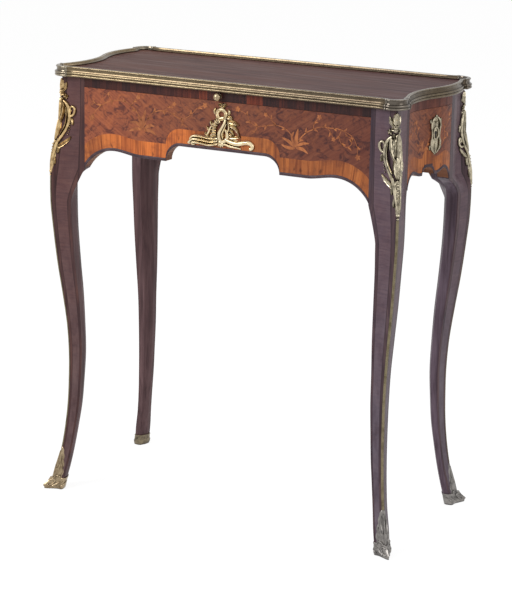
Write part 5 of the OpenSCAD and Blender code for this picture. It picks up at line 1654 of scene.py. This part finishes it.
class TABLE_OT_stage(bpy.types.Operator):
    """Sets the camera, the lamps, the sky and the floor"""
    bl_idname = "table.stage"
    bl_label = "Stage"

    def execute(self, context):
        self.set_camera(context.scene)
        self.set_lamps(context.scene)
        self.set_sky(context.scene)
        self.set_floor(context.scene)
        context.scene.view_settings.view_transform = "Standard"
        return {"FINISHED"}

    def set_camera(self, scene):
        """Camera that looks at the table from the stage's direction."""
        s = scene.table_stage
        az, el, roll = (math.radians(a) for a in (s.azimuth, s.elevation, s.roll))
        back = Vector((math.sin(az) * math.cos(el), -math.cos(az) * math.cos(el), math.sin(el)))
        right = (-back).cross(Vector((0, 0, 1))).normalized()
        up = right.cross(-back)
        c, n = math.cos(roll), math.sin(roll)
        right, up = c * right + n * up, c * up - n * right
        data = bpy.data.cameras.new("camera")
        data.sensor_fit, data.sensor_width, data.lens = "HORIZONTAL", 36.0, s.lens
        data.clip_end = 50.0
        camera = bpy.data.objects.new("camera", data)
        scene.collection.objects.link(camera)
        turn = Matrix((right, up, back)).transposed().to_4x4()
        camera.matrix_world = Matrix.Translation(Vector((s.aim_x, 0, s.aim_z)) + s.distance * back) @ turn
        scene.camera = camera

    def set_lamps(self, scene):
        """Three large soft lamps, all aimed at the table."""
        s = scene.table_stage
        for name, place, size, power in (("key", (-1.7, -2.6, 2.3), 1.6, s.key_power),
                                         ("fill", (3.0, -0.6, 1.6), 1.8, s.fill_power),
                                         ("top", (0.2, 0.9, 2.8), 1.6, s.fill_power)):
            lamp = bpy.data.lights.new(name, "AREA")
            lamp.shape, lamp.size, lamp.energy = "DISK", size, power
            holder = bpy.data.objects.new(name, lamp)
            scene.collection.objects.link(holder)
            holder.location = place
            way = Vector((0, 0, 0.4)) - Vector(place)
            holder.rotation_euler = way.to_track_quat("-Z", "Y").to_euler()

    def set_sky(self, scene):
        """Even light on the object, and plain white behind it."""
        world = bpy.data.worlds.new("sky")
        scene.world = world
        world.use_nodes = True
        nodes = Nodes(world.node_tree)
        even = nodes.add("Background", {"Color": WHITE, "Strength": scene.table_stage.sky})
        white = nodes.add("Background", {"Color": WHITE})
        mix = nodes.add("MixShader", {0: nodes.seen(), 1: even.outputs[0], 2: white.outputs[0]})
        nodes.add("OutputWorld", {"Surface": mix.outputs[0]})

    def set_floor(self, scene):
        """Wide pale floor."""
        mesh = bpy.data.meshes.new("floor")
        bm = bmesh.new()
        bmesh.ops.create_grid(bm, x_segments=12, y_segments=12, size=14.0)
        bm.to_mesh(mesh)
        bm.free()
        floor = bpy.data.objects.new("floor", mesh)
        scene.collection.objects.link(floor)
        mesh.materials.append(make_floor_finish())


OPERATORS = (TABLE_OT_stage, TABLE_OT_finishes, TABLE_OT_carried_parts, TABLE_OT_rim, TABLE_OT_panels,
             TABLE_OT_marquetry, TABLE_OT_legs, TABLE_OT_corner_mounts, TABLE_OT_front_mount,
             TABLE_OT_drawer_fittings, TABLE_OT_writing_slide)


class TABLE_PT_looks(bpy.types.Panel):
    """Lists the steps that build the table's looks"""
    bl_idname = "TABLE_PT_looks"
    bl_label = "Occasional table"
    bl_space_type = "VIEW_3D"
    bl_region_type = "UI"
    bl_category = "Table"

    def draw(self, context):
        column = self.layout.column()
        for kind in OPERATORS:
            column.operator(kind.bl_idname)
        for group in (context.scene.table_stage, context.scene.table_colours):
            for name in group.__annotations__:
                column.prop(group, name)


CLASSES = (TableStage, TableColours, *OPERATORS, TABLE_PT_looks)


def register():
    """Registers the add-on and its properties."""
    for kind in CLASSES:
        bpy.utils.register_class(kind)
    bpy.types.Scene.table_stage = PointerProperty(type=TableStage)
    bpy.types.Scene.table_colours = PointerProperty(type=TableColours)


def unregister():
    """Takes the add-on and its properties out again."""
    del bpy.types.Scene.table_colours
    del bpy.types.Scene.table_stage
    for kind in reversed(CLASSES):
        bpy.utils.unregister_class(kind)


def main():
    register()
    for kind in OPERATORS:
        group, step = kind.bl_idname.split(".")
        getattr(getattr(bpy.ops, group), step)()


if __name__ == "__main__":
    main()
